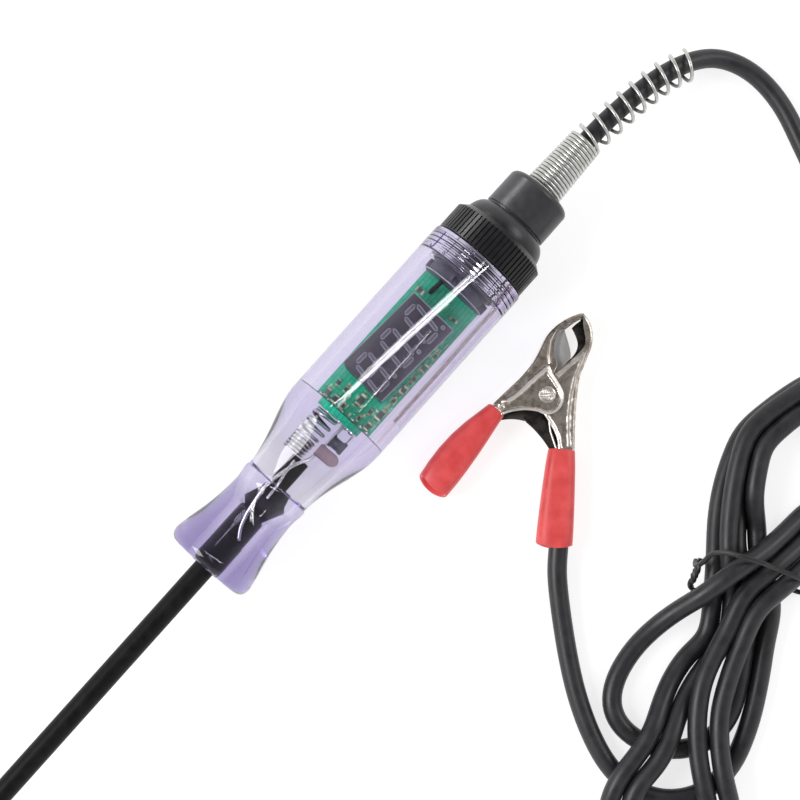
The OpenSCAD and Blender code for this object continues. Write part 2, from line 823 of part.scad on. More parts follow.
// A channel: a back along the outer edge and two side plates of the whole outline
module channel(edge, inner, width, side) {
    back = concat(edge, [for (i = [len(edge) - 1 : -1 : 0]) beside(edge, side * sheet_t)[i]]);
    translate([0, 0, -width / 2]) linear_extrude(width) polygon(back);
    for (z = [-width / 2, width / 2 - sheet_t])
        translate([0, 0, z]) linear_extrude(sheet_t) polygon(concat(edge, inner));
}

// Outer edges from the jaw's tip to the end of the handle
moving_edge = concat(
    [[20.6, 0.1]],
    curve([20.6, 0.1], [19.2, 2.4], [16, 4.8], [12.5, 5.6], 6),
    curve([12.5, 5.6], [9.5, 6.1], [7.5, 4.6], [0.7, 7.1], 6),
    [[-6.5, 10.2], [-24, 15]]
);
moving_inner = concat(
    [[-24.6, 12.9], [-7.8, 7.85], [-5.1, 5.6], [-3.6, 0.6]],
    arc([0, 0], ear_r, 170, 345, 10),
    [[4.9, 0.9], [7.2, 0.75], [9, 1.6]],
    curve([9, 1.6], [12, 3], [15.5, 2.9], [17, 1.2], 6),
    [[18.4, 0.5]]
);
fixed_edge = concat(
    [[20, -0.6]],
    curve([20, -0.6], [18.6, -2.8], [16.6, -4.3], [13.4, -4.6], 6),
    [[10.5, -4.8], [7.3, -5]],
    curve([7.3, -5], [3.6, -5.9], [-2, -7.9], handle_root, 5),
    [handle_end[0]]
);
fixed_inner = concat(
    [handle_end[1], [-9.9, -7.3], [-6.7, -4.4], [-3.6, -0.2]],
    arc([0, 0], ear_r, 160, 20, 8),
    [[7.4, -0.5], [9.4, -1.6]],
    curve([9.4, -1.6], [12, -2.9], [15, -2.7], [16.8, -1.2], 6),
    [[18.2, -0.5]]
);

module clip_moving_jaw() {
    rib_h = 0.35;
    outer = [
        [-2.6, 6.9], [9.4, 4.5], [5.2, 1.5], [2.9, -0.9], [1.6, -2.3], [-0.6, -2.9],
        [-2.6, -1.8], [-4.2, 4.6]
    ];
    inner = [
        [-1.9, 6], [7.5, 4.2], [4.6, 2.1], [2.1, -0.5], [1.1, -1.65], [-0.5, -2.1],
        [-1.95, -1.2], [-3.3, 4.4]
    ];
    color([0.7, 0.68, 0.64])
        in_clip()
            difference() {
                union() {
                    channel(moving_edge, moving_inner, clip_w, -1);
                    for (side = [-1, 1])
                        translate([0, 0, side * (clip_w / 2 + rib_h / 2) - rib_h / 2])
                            linear_extrude(rib_h)
                                difference() {
                                    polygon(outer);
                                    polygon(inner);
                                }
                }
                translate([0, 0, -clip_w]) cylinder(r = pivot_bore_r, h = 2 * clip_w);
            }
}

module clip_fixed_jaw() {
    color([0.7, 0.68, 0.64])
        in_clip()
            difference() {
                channel(fixed_edge, fixed_inner, inner_w, 1);
                translate([0, 0, -clip_w]) cylinder(r = pivot_bore_r, h = 2 * clip_w);
            }
}

module clip_rivet() {
    head_r = 1.8;
    head_h = rivet_head_h;
    face = clip_w / 2 + slide;
    color([0.75, 0.73, 0.7])
        in_clip() {
            translate([0, 0, -face]) cylinder(r = rivet_r, h = 2 * face);
            translate([0, 0, face]) cylinder(r1 = head_r, r2 = head_r - 0.5, h = head_h);
            translate([0, 0, -face - head_h]) cylinder(r1 = head_r - 0.5, r2 = head_r, h = head_h);
        }
}

// The spring in the clip: three turns round the rivet and a leg to each handle
module clip_spring() {
    r = 0.35;
    coil_r = rivet_r + 0.75;
    per_turn = 12;
    turns = 3.4;
    pitch = 0.85;
    start = 60;
    rise = turns * pitch;
    coil = [
        for (i = [0 : turns * per_turn])
            let (a = start + 360 * i / per_turn)
            [coil_r * cos(a), coil_r * sin(a), -rise / 2 + pitch * i / per_turn]
    ];
    from = [[-12, 9.9, -rise / 2], [-6, 7.2, -rise / 2], [-1.2, 3.4, -rise / 2]];
    to = [[-3.6, -3.8, rise / 2], [-8.5, -8.4, rise / 2], [-12, -9.9, rise / 2]];
    color("silver")
        in_clip() bar_along(concat(from, coil, to), r, 6);
}

// A soft sleeve over a handle, from its front middle to its rear middle
module grip(front, rear, front_w, rear_w, front_h, hole, rear_hole) {
    way = rear - front;
    length = norm(way);
    edge = 0.4;
    module slab(w, h, at, t) {
        translate([at, 0, 0])
            rotate([90, 0, 90])
                linear_extrude(t)
                    intersection() {
                        square([w, h], center = true);
                        circle(d = 1.28 * max(w, h), $fn = 32);
                    }
    }
    in_clip()
        translate([front[0], front[1], 0])
            rotate([0, 0, atan2(way[1], way[0])])
                difference() {
                    hull() {
                        slab(front_w, front_h, 0, 0.1);
                        slab(rear_w, grip_h, length - 2 * edge, 0.1);
                        slab(rear_w - 2 * edge, grip_h - 2 * edge, length - 0.1, 0.1);
                    }
                    translate([-1, -hole[1] / 2, -hole[2] / 2]) cube(hole + [1, 0, 0]);
                    if (rear_hole > 0)
                        translate([hole[0] - 1, 0, 0])
                            rotate([0, 90, 0]) cylinder(r = rear_hole, h = length);
                }
}

module clip_grip_moving() {
    front = [-7.7, 9.2];
    way = unit([-21.8, 6]);
    front_w = 3.6;
    rear_w = 7.5;
    hole = [18, 2.8, clip_w + clear];
    color([0.86, 0.28, 0.28])
        grip(front, front + grip_len * way, front_w, rear_w, grip_h, hole, 0);
}

module clip_grip_fixed() {
    inside = 12.5;
    front_w = 6.5;
    rear_w = 8;
    front_h = grip_h - 0.6;
    hole = [inside + 1, 4.6, inner_w + clear];
    color([0.86, 0.28, 0.28])
        grip(handle_mid + inside * handle_way, handle_mid - grip_overhang * handle_way,
             front_w, rear_w, front_h, hole, cable_bore_r);
}

probe_needle();
probe_sleeve();
probe_boot();
handle_shell();
probe_wire();
link_wire();
contact_spring();
front_board();
indicator_lamp();
input_resistor();
circuit_board();
display_module();
display_segments();
display_pins();
surface_parts();
controller_chip();
board_plug();
ground_wire();
end_cap();
strain_spring();
cable_lead();
cable_hank();
clip_lead();
twist_tie();
clip_fixed_jaw();
clip_moving_jaw();
clip_rivet();
clip_spring();
clip_grip_fixed();
clip_grip_moving();
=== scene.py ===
"""Looks of the digital circuit tester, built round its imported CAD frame."""

import random
from math import copysign, cos, dist, exp, pi, radians, sin

import bmesh
import bpy
import numpy as np
from mathutils import Matrix, Vector
from mathutils.geometry import delaunay_2d_cdt


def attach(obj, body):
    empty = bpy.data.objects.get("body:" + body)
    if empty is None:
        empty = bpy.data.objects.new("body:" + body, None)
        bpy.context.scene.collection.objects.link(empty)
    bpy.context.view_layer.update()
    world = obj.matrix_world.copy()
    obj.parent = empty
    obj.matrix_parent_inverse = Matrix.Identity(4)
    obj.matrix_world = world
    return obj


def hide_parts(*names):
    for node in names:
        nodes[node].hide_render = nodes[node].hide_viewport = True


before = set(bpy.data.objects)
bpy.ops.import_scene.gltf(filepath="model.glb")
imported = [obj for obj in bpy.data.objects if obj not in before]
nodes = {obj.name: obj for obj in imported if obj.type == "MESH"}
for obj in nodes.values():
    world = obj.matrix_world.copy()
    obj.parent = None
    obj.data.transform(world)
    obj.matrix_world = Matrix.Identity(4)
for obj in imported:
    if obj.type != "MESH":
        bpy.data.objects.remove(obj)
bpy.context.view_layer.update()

MM = 0.001
ROOT, LEVER = "tester", "clip_lever"

# Sizes shared with the CAD, in mm: lengths along the handle are from its nose
PROBE_OUT = 96.0
HANDLE_LEN = 91.9
CAP_LEN = 21.6
NOSE_X = PROBE_OUT - (PROBE_OUT + HANDLE_LEN + CAP_LEN) / 2
CAP_X = NOSE_X + HANDLE_LEN
AXIS_Z = 12.4
NECK_WALL = 23.7
SHOULDER_END = 44.02
CHAMBER_END = 45.32
MOUTH_START = 87.0
MOUTH_R = 8.8
BORE_R = 9.7
BARREL_R = 12.4
CABLE_D = 4.5
BOARD_TOP = -1.5
DISPLAY_MID, DISPLAY_Y, DISPLAY_TOP = CHAMBER_END + 8.3 + 11.25, 0.3, BOARD_TOP + 7.2
DISPLAY_TURN = radians(-3)
CLIP_X, CLIP_Y, CLIP_Z = 71.6, -31.5, 3.95
CLIP_ANGLE = radians(17.1)


def in_handle(p):
    """The place of a point that is measured from the nose, on the axis."""
    return (NOSE_X + p[0], p[1], AXIS_Z + p[2])


def in_clip(p):
    """The place of a point that is measured from the pin, with x towards the jaw's tip."""
    c, s = cos(CLIP_ANGLE), sin(CLIP_ANGLE)
    return (CLIP_X + p[0] * c - p[1] * s, CLIP_Y + p[0] * s + p[1] * c, CLIP_Z + p[2])


# The camera stands where the photograph's did
CAMERA_AT = Vector((0.011, -0.030, 0.520))
CAMERA_TO = Vector((0.048, -0.0076, 0.0124))
CAMERA_ROLL = radians(-48.37)
FOCAL_PX, IMAGE_PX = 2268.8, 800


def add_object(name, data):
    made = bpy.data.objects.new(name, data)
    bpy.context.scene.collection.objects.link(made)
    return made


def add_camera():
    look = (CAMERA_TO - CAMERA_AT).normalized()
    flat = look.cross(Vector((0, 1, 0))).normalized()
    rise = flat.cross(look)
    c, s = cos(CAMERA_ROLL), sin(CAMERA_ROLL)
    right, up = c * flat + s * rise, c * rise - s * flat
    data = bpy.data.cameras.new("camera")
    data.lens = data.sensor_width * FOCAL_PX / IMAGE_PX
    data.clip_start, data.clip_end = 0.01, 20
    camera = add_object("camera", data)
    turn = Matrix((right, up, -look)).transposed().to_4x4()
    camera.matrix_world = Matrix.Translation(CAMERA_AT) @ turn
    bpy.context.scene.camera = camera


# Materials


def rgba(colour):
    """A colour with its alpha; one number stands for a grey."""
    return (*((colour,) * 3 if isinstance(colour, float) else colour), 1)


def set_inputs(tree, node, inputs):
    """Sockets are linked to the node's inputs, and any other value is set on them."""
    for key, value in inputs.items():
        if isinstance(value, bpy.types.NodeSocket):
            tree.links.new(value, node.inputs[key])
        else:
            node.inputs[key].default_value = value


def add_node(tree, kind, inputs=None, output=0, **settings):
    """A new node of a kind; gives one of its outputs."""
    node = tree.nodes.new("ShaderNode" + kind)
    for key, value in settings.items():
        setattr(node, key, value)
    set_inputs(tree, node, inputs or {})
    return node.outputs[output]


def new_material(name):
    material = bpy.data.materials.new(name)
    material.use_nodes = True
    tree = material.node_tree
    return material, tree, tree.nodes["Principled BSDF"]


def set_surface(tree, shader_output):
    tree.links.new(shader_output, tree.nodes["Material Output"].inputs["Surface"])


def object_place(tree):
    return add_node(tree, "TexCoord", output="Object")


def noise(tree, scale, detail=3.0, rough=0.5, stretch=None):
    place = object_place(tree)
    if stretch:
        place = add_node(tree, "Mapping", {"Vector": place, "Scale": stretch})
    return add_node(tree, "TexNoise", {"Vector": place, "Scale": scale, "Detail": detail,
                                       "Roughness": rough})


def ramp(tree, source, stops):
    node = tree.nodes.new("ShaderNodeValToRGB")
    tree.links.new(source, node.inputs["Fac"])
    elements = node.color_ramp.elements
    while len(elements) < len(stops):
        elements.new(0.5)
    for element, (at, colour) in zip(elements, stops):
        element.position = at
        element.color = rgba(colour)
    return node.outputs["Color"]


def add_bump(tree, shader, height, distance_mm):
    bump = add_node(tree, "Bump", {"Distance": distance_mm * MM, "Strength": 1.0, "Height": height})
    tree.links.new(bump, shader.inputs["Normal"])


def plain(name, dark, light, rough, scale=900.0, bump_mm=0.0, bump_scale=2500.0, **values):
    """A moulded or rubbery surface: its colour and gloss vary a little with fine noise."""
    material, tree, shader = new_material(name)
    pattern = noise(tree, scale)
    set_inputs(tree, shader, {
        "Base Color": ramp(tree, pattern, [(0.3, dark), (0.7, light)]),
        "Roughness": ramp(tree, pattern, [(0.25, rough[0]), (0.75, rough[1])]),
    })
    if bump_mm:
        add_bump(tree, shader, noise(tree, bump_scale, 4.0), bump_mm)
    set_inputs(tree, shader, {key.replace("_", " "): value for key, value in values.items()})
    return material


def metal(name, dark, light, rough, scale=700.0, bump_mm=0.01, bump_scale=1500.0, stretch=None):
    """Bare metal: where its noise is darker it is also duller."""
    material, tree, shader = new_material(name)
    pattern = noise(tree, scale, 5.0, 0.6, stretch)
    set_inputs(tree, shader, {
        "Base Color": ramp(tree, pattern, [(0.32, dark), (0.62, light)]),
        "Roughness": ramp(tree, pattern, [(0.3, rough[1]), (0.7, rough[0])]),
        "Metallic": 1.0,
    })
    if bump_mm:
        add_bump(tree, shader, noise(tree, bump_scale, stretch=stretch), bump_mm)
    return material


def share_between(tree, value, start, finish):
    """0 to 1 between two values in mm."""
    return add_node(tree, "MapRange", {"Value": value, "From Min": MM * start,
                                       "From Max": MM * finish})


def along_axis(tree, start, finish):
    """A share that goes from 0 to 1 between two places along the handle, in mm."""
    x = add_node(tree, "SeparateXYZ", {"Vector": object_place(tree)}, "X")
    return share_between(tree, x, NOSE_X + start, NOSE_X + finish)


def blend_colour(tree, share, a, b):
    return add_node(tree, "Mix", {"Factor": share, "A": a, "B": b}, "Result", data_type="RGBA")


def clear_plastic(name, depth_colour, density):
    """Clear tinted plastic: it takes its colour from its thickness, and lets the lamps through. Its
    base colour is also greyer in the neck, as painted shade there.
    """
    material, tree, shader = new_material(name)
    nose, neck, clear = (0.915, 0.905, 0.95), (0.85, 0.845, 0.86), (0.965, 0.955, 0.985)
    # The greyer colour in the neck is painted shade.
    tint_and_neck_shade = ramp(tree, along_axis(tree, NECK_WALL - 2, NECK_WALL + 20),
                [(0.085, nose), (0.1, neck), (0.45, neck), (0.9, clear)])
    set_inputs(tree, shader, {"Base Color": tint_and_neck_shade, "Transmission Weight": 1.0, "IOR": 1.49,
                              "Roughness": 0.0})
    add_bump(tree, shader, noise(tree, 160.0, 1.0, stretch=(0.25, 1, 1)), 0.014)
    open_to_lamps = add_node(tree, "BsdfTransparent", {"Color": rgba((0.93, 0.91, 0.98))})
    set_surface(tree, add_node(tree, "MixShader", {
        "Fac": add_node(tree, "LightPath", output="Is Shadow Ray"), 1: shader.outputs["BSDF"],
        2: open_to_lamps}))
    inside = add_node(tree, "VolumeAbsorption", {"Color": rgba(depth_colour), "Density": density})
    tree.links.new(inside, tree.nodes["Material Output"].inputs["Volume"])
    return material


def board_material():
    """Green lacquer over copper: darker lines where the tracks are not."""
    material, tree, shader = new_material("board_green")
    tracks = add_node(tree, "TexBrick", {
        "Vector": object_place(tree), "Scale": 420.0, "Color1": rgba((0.004, 0.48, 0.225)),
        "Color2": rgba((0.008, 0.56, 0.27)), "Mortar": rgba((0.003, 0.35, 0.16)),
        "Mortar Size": 0.05, "Brick Width": 1.1, "Row Height": 0.42})
    gloss = ramp(tree, noise(tree, 600.0), [(0.3, 0.22), (0.7, 0.4)])
    set_inputs(tree, shader, {"Base Color": tracks, "Roughness": gloss, "Specular IOR Level": 0.25})
    return material


def leaded_part(name, dark, light, rough, leads_from, **values):
    """A small part with bare metal leads on the side of the round board."""
    material = plain(name, dark, light, rough, **values)
    tree = material.node_tree
    tin = add_node(tree, "BsdfPrincipled", {"Base Color": rgba((0.62, 0.62, 0.6)),
                                            "Metallic": 1.0, "Roughness": 0.28})
    set_surface(tree, add_node(tree, "MixShader", {
        "Fac": along_axis(tree, leads_from, leads_from + 0.05),
        1: tree.nodes["Principled BSDF"].outputs["BSDF"], 2: tin}))
    return material


def recoloured(material, share, at_none=None, at_all=None):
    """A material whose base colour turns into another, or out of it, with a share."""
    tree = material.node_tree
    base = tree.nodes["Principled BSDF"].inputs["Base Color"]
    own = base.links[0].from_socket
    tree.links.new(blend_colour(tree, share, at_none or own, at_all or own), base)
    return material


def cap_material():
    """Black cap: the knurled ring's colour is darker than the smooth neck's, as painted shade among
    its ribs.
    """
    scale = 500.0
    material = plain("cap_black", (0.005, 0.005, 0.006), (0.010, 0.010, 0.011), (0.28, 0.38),
                     scale, 0.01, 1800, Specular_IOR_Level=0.4)
    tree = material.node_tree
    neck = ramp(tree, noise(tree, scale), [(0.3, (0.028, 0.028, 0.031)),
                                           (0.7, (0.038, 0.038, 0.042))])
    # The ring's darker base colour is painted shade among the ribs.
    from_ring = along_axis(tree, HANDLE_LEN + 8.0, HANDLE_LEN + 11.0)
    return recoloured(material, from_ring, at_all=neck)


def clip_inner_material():
    """The upper half's inner faces: pale in the jaw, and painted darker towards the handle as
    painted shade inside the channel.
    """
    material = plain("clip_plate_inside", (0.78, 0.77, 0.77), (0.9, 0.89, 0.89), (0.4, 0.55),
                     500, 0.004, 900)
    tree = material.node_tree
    jaw_way = Vector(in_clip((1, 0, 0))) - Vector(in_clip((0, 0, 0)))
    along = add_node(tree, "VectorMath", {0: object_place(tree), 1: jaw_way}, "Value",
                     operation="DOT_PRODUCT")
    painted_shade_end, unshaded_end = (jaw_way.dot(Vector(in_clip((x, 0, 0)))) for x in (0.0, 5.0))
    # Towards the handle the colour turns dark: painted shade inside the channel.
    share = share_between(tree, along, painted_shade_end, unshaded_end)
    return recoloured(material, share, at_none=rgba((0.07, 0.062, 0.056)))


# Dark and light colour, roughness from and to, and the noise's scale; then the bump's depth in
# mm, its scale, and how the noise is stretched
PLAIN = {
    "violet": ("deep_violet", (0.07, 0.05, 0.16), (0.12, 0.09, 0.24), (0.15, 0.25), 900),
    "dark_part": ("component_black", 0.02, 0.05, (0.4, 0.6), 1200),
    "chip": ("chip_body", (0.03, 0.045, 0.035), (0.07, 0.09, 0.075), (0.35, 0.5), 1200),
    "display": ("display_grey", (0.014, 0.012, 0.017), (0.026, 0.024, 0.03), (0.3, 0.42), 600,
                0.004),
    "segment": ("segment_grey", (0.07, 0.07, 0.08), (0.11, 0.11, 0.12), (0.35, 0.5), 1500),
    "segment_rim": ("segment_rim", (0.26, 0.26, 0.28), (0.4, 0.4, 0.42), (0.3, 0.5), 1500),
    "plug": ("plug_grey", (0.045, 0.045, 0.056), (0.08, 0.08, 0.095), (0.35, 0.5), 700),
    "plug_edge": ("plug_edge", (0.42, 0.42, 0.44), (0.6, 0.6, 0.62), (0.3, 0.45), 900),
    "cable": ("cable_black", (0.012, 0.012, 0.014), (0.024, 0.024, 0.027), (0.36, 0.48), 350,
              0.015, 900),
    "tie": ("tie_black", 0.012, 0.026, (0.35, 0.5), 800),
    "grip": ("grip_red", (0.68, 0.056, 0.056), (0.82, 0.092, 0.092), (0.38, 0.52), 300, 0.02, 800),
    "mark": ("board_marks", (0.42, 0.62, 0.3), (0.6, 0.78, 0.46), (0.4, 0.6), 1500),
}
METAL = {
    "rod": ("probe_steel", (0.42, 0.42, 0.43), (0.62, 0.62, 0.63), (0.2, 0.34), 900, 0.004, 2500,
            (0.1, 1, 1)),
    "wire": ("bare_wire", (0.8, 0.8, 0.78), (0.95, 0.95, 0.93), (0.2, 0.32), 1500, 0.006),
    "spring": ("spring_steel", (0.52, 0.52, 0.5), (0.64, 0.64, 0.61), (0.28, 0.36), 900, 0),
    "spring_side": ("spring_side", (0.12, 0.12, 0.11), (0.2, 0.2, 0.19), (0.3, 0.4), 900, 0),
    "coil": ("coil_steel", (0.55, 0.55, 0.56), (0.75, 0.75, 0.76), (0.12, 0.2), 900, 0),
    "tinned": ("tinned_pads", (0.26, 0.34, 0.2), (0.5, 0.58, 0.36), (0.25, 0.4), 1800, 0.01),
    "nickel": ("clip_plate", (0.25, 0.205, 0.165), (0.69, 0.615, 0.54), (0.16, 0.26), 800, 0.007,
               1000),
    "rivet": ("clip_rivet_head", (0.54, 0.5, 0.46), (0.7, 0.66, 0.61), (0.24, 0.32), 700, 0),
    "etched": ("clip_plate_etched", (0.33, 0.275, 0.23), (0.79, 0.71, 0.63), (0.2, 0.32), 700,
               0.008, 1000),
    # The lighter bead look is wear, and also painted highlight along the ridges.
    "rubbed": ("clip_plate_rubbed", (0.66, 0.61, 0.56), (0.86, 0.81, 0.75), (0.32, 0.42), 700,
               0.003, 1000),
    "shade": ("clip_plate_shade", (0.035, 0.03, 0.028), (0.12, 0.11, 0.10), (0.3, 0.45), 500,
              0.004, 900),
    "solder": ("solder", 0.6, (0.88, 0.88, 0.87), (0.14, 0.3), 1800, 0.02),
}


def make_materials():
    made = {key: plain(*row) for key, row in PLAIN.items()}
    made.update({key: metal(*row) for key, row in METAL.items()})
    made.update({
        "handle": clear_plastic("clear_violet", (0.20, 0.093, 0.493), 75.0),
        "board": board_material(),
        "cap": cap_material(),
        "inside": clip_inner_material(),
        "sleeve": plain("sleeve_black", 0.006, 0.012, (0.34, 0.42), 500, 0.004, 2200,
                        Specular_IOR_Level=0.12),
        "boot": plain("boot_black", 0.004, (0.012, 0.011, 0.011), (0.4, 0.55), 700, 0.02, 1500,
                      Specular_IOR_Level=0.12),
        "lamp": leaded_part("lamp_red", (0.40, 0.29, 0.29), (0.50, 0.37, 0.37), (0.14, 0.26),
                            38.6, Transmission_Weight=0.75),
        "resistor": leaded_part("resistor_grey", (0.07, 0.07, 0.085), (0.13, 0.13, 0.15),
                                (0.35, 0.5), 41.85),
    })
    return made


materials = make_materials()


# Meshes. A part is a pair of points and faces, in mm.


def new_piece(name, part, look, stands_for=(), body=ROOT, smooth_below=35):
    """A piece in metres from a part in mm; look names its material."""
    points, faces = part
    mesh = bpy.data.meshes.new(name)
    mesh.from_pydata([tuple(MM * c for c in p) for p in points], [], [tuple(f) for f in faces])
    mesh.validate()
    return add_piece(name, mesh, [look], stands_for, body, smooth_below)


def add_piece(name, mesh, looks, stands_for=(), body=ROOT, smooth_below=35):
    mesh.polygons.foreach_set("use_smooth", [True] * len(mesh.polygons))
    mesh.set_sharp_from_angle(angle=radians(smooth_below))
    piece = add_object(name, mesh)
    for look in looks:
        mesh.materials.append(materials[look])
    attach(piece, body)
    if stands_for:
        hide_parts(*stands_for)
    return piece


def fix_normals(piece):
    bm = bmesh.new()
    bm.from_mesh(piece.data)
    bmesh.ops.recalc_face_normals(bm, faces=bm.faces)
    bm.to_mesh(piece.data)
    bm.free()


def round_edges(piece, width, least_angle):
    bevel = piece.modifiers.new("edges", "BEVEL")
    bevel.width = width * MM
    bevel.segments = 2
    bevel.limit_method = "ANGLE"
    bevel.angle_limit = radians(least_angle)


def circle(count):
    """The cosines and sines of evenly spaced angles."""
    for k in range(count):
        a = 2 * pi * k / count
        yield cos(a), sin(a)


def bezier(a, b, c, d, steps):
    """The points of a curve from a to d, without a itself."""
    out = []
    for i in range(1, steps + 1):
        t = i / steps
        s = 1 - t
        out.append(tuple(s**3 * p + 3 * s * s * t * q + 3 * s * t * t * r + t**3 * u
                         for p, q, r, u in zip(a, b, c, d)))
    return out


def trace(start, *moves):
    """An outline: a move is a point, or two handles, an end and the steps of a curve to it."""
    out = [start]
    for move in moves:
        out += bezier(out[-1], *move) if len(move) == 4 else [move]
    return out


def skin(rings, sides):
    """Faces between rings of equally many points."""
    return [(i * sides + k, i * sides + m, (i + 1) * sides + m, (i + 1) * sides + k)
            for i in range(rings - 1) for k, m in around(sides)]


def around(count):
    return [(k, (k + 1) % count) for k in range(count)]


def tube_faces(rings, sides):
    """A skin with a flat cap on its first and last ring."""
    last = (rings - 1) * sides
    return skin(rings, sides) + [tuple(range(sides - 1, -1, -1)),
                                 tuple(last + k for k in range(sides))]


def dome_faces(rings, sides):
    """A skin with a flat cap below, and a fan to one last point on top."""
    last = (rings - 1) * sides
    fan = [(last + k, last + m, last + sides) for k, m in around(sides)]
    return skin(rings, sides) + fan + [tuple(range(sides - 1, -1, -1))]


def revolve(profile, x0, segments):
    """A closed profile of (distance, radius), turned round the tester's axis."""
    points = [(x0 + x, r * c, AXIS_Z + r * s) for x, r in profile for c, s in circle(segments)]
    rows = len(profile)
    closing = [((rows - 1) * segments + k, (rows - 1) * segments + m, m, k)
               for k, m in around(segments)]
    return points, skin(rows, segments) + closing


def unit(v):
    """A vector, or each row of an array, at length one."""
    return v / np.linalg.norm(v, axis=-1, keepdims=True)


def left_of(way):
    return np.array((-way[1], way[0]))


def frames_along(path):
    """A pair of normals that turn as little as they can along a path."""
    tangent = unit(np.gradient(path, axis=0))
    side = unit(np.cross(tangent[0], [0.0, 0.1, 1.0]))
    sides = []
    for t in tangent:
        side = unit(side - np.dot(side, t) * t)
        sides.append(side)
    return np.array(sides), np.cross(tangent, sides)


def tube(path, radius, sides, round_ends=False):
    """A round bar along a path."""
    path = np.asarray(path, float)
    radii = np.full(len(path), float(radius))
    if round_ends:
        ends = []
        for at, step in ((0, 1), (len(path) - 1, -1)):
            t = unit(path[at] - path[at + step])
            ends.append([(path[at] + t * radius * sin(a), radius * cos(a))
                         for a in (0.5, 1.0, 1.4)])
        ends[0].reverse()
        path = np.vstack([[p for p, _ in ends[0]], path, [p for p, _ in ends[1]]])
        radii = np.concatenate([[r for _, r in ends[0]], radii, [r for _, r in ends[1]]])
    points = [p + r * (c * u + s * v) for p, r, u, v in zip(path, radii, *frames_along(path))
              for c, s in circle(sides)]
    return [tuple(p) for p in points], tube_faces(len(path), sides)


def join(*parts):
    points, faces = [], []
    for p, f in parts:
        shift = len(points)
        points += list(p)
        faces += [tuple(i + shift for i in face) for face in f]
    return points, faces


def box_part(low, high):
    (a, b, c), (d, e, f) = low, high
    points = [(x, y, z) for z in (c, f) for y in (b, e) for x in (a, d)]
    return points, [(0, 2, 3, 1), (4, 5, 7, 6), (0, 1, 5, 4), (2, 6, 7, 3), (0, 4, 6, 2),
                    (1, 3, 7, 5)]


def spline(points, step):
    """A smooth line through points (centripetal Catmull-Rom), resampled every step mm."""
    p = np.asarray(points, float)
    p = np.vstack([2 * p[0] - p[1], p, 2 * p[-1] - p[-2]])
    out = []
    for i in range(1, len(p) - 2):
        four = p[i - 1 : i + 3]
        knots = np.cumsum([0.0, *np.linalg.norm(np.diff(four, axis=0), axis=1) ** 0.5])
        for t in np.linspace(knots[1], knots[2], 12, endpoint=False):
            spot = four
            for spans in (((0, 1), (1, 2), (2, 3)), ((0, 2), (1, 3)), ((1, 2),)):
                spot = [(knots[k] - t) / (knots[k] - knots[j]) * a
                        + (t - knots[j]) / (knots[k] - knots[j]) * b
                        for (j, k), a, b in zip(spans, spot, spot[1:])]
            out.append(spot[0])
    out.append(p[-2])
    return resample(out, step)


def resample(path, step):
    path = np.asarray(path, float)
    along = np.concatenate([[0], np.cumsum(np.linalg.norm(np.diff(path, axis=0), axis=1))])
    at = np.linspace(0, along[-1], max(2, round(along[-1] / step) + 1))
    return np.array([np.interp(at, along, path[:, k]) for k in range(3)]).T


def soften(path, rounds):
    for _ in range(rounds):
        path[1:-1] = 0.25 * path[:-2] + 0.5 * path[1:-1] + 0.25 * path[2:]
    return path


# The cable: one cord from the cap through its tied figure-eight hank to the clip. A point
# without a height lies on the floor.

LEAD_ROUTE = [
    (CAP_X + 3, 0, AXIS_Z), (CAP_X + 12, 0, AXIS_Z), (CAP_X + CAP_LEN + 1, 0, AXIS_Z),
    (112, 0, AXIS_Z), (118, 0, 12.35), (123, 0, 12.2), (128, -0.3, 11.8), (133, -0.8, 11),
    (137, -1.3, 10.2), (141, -1.9, 9.3), (145, -2.8, 8.2), (149, -4.1, 6.9), (153, -5.9, 5.2),
    (156.6, -8.6, 3.6), (159, -12.4, 2.6), (160.2, -17), (160.1, -22.5),
    (158.6, -29), (155.6, -36), (150.6, -47), (144.5, -58.5),
    (137, -68.6), (128.6, -74.9), (119.6, -76.3), (111.4, -73.6),
]
# Across the hank: edge x and y, direction of the row, then each pass's offset and height
ROW_UNDER = [
    (103.1, -69.4, -103, (2.25, 2.7, 6.8, 7.2), (2.25, 6.75, 2.25, 6.75)),
    (95.5, -68.6, -88, (2.25, 2.9, 6.8, 7.4), (2.25, 6.75, 2.25, 6.75)),
    (88.0, -70.7, -66, (2.25, 3.6, 6.9, 8.2), (2.25, 6.6, 2.25, 6.6)),
    (81.0, -73.9, -60, (2.25, 4.3, 6.9, 9.2), (2.25, 6.4, 2.25, 6.2)),
    (74.5, -78.1, -54, (2.25, 4.6, 6.9, 11.4), (2.25, 6.2, 2.25, 2.6)),
    (69.0, -82.4, -53, (2.25, 4.8, 7.3, 12.0), (3.0, 6.4, 3.0, 3.2)),
    (61.5, -88.0, -55, (2.25, 6.75, 11.25, 15.75), (3.35, 3.35, 3.35, 3.35)),
    (53.5, -93.2, -58, (2.25, 6.75, 11.25, 15.75), (2.25, 2.25, 2.25, 2.25)),
]
ROW_OVER = [
    (61.0, -85.4, -100, (16.6, 11.9, 2.25), (6.75, 6.75, 8.6)),
    (69.5, -87.0, -104, (12.6, 7.8, 2.25), (7.4, 7.4, 10.6)),
    (77.5, -89.3, -100, (11.25, 6.75, 2.25), (6.9, 6.9, 7.8)),
    (85.5, -90.6, -97, (11.25, 6.75, 2.25), (4.2, 4.2, 4.4)),
    (93.0, -91.6, -99, (11.25, 6.75, 2.25), (2.25, 2.25, 2.25)),
]
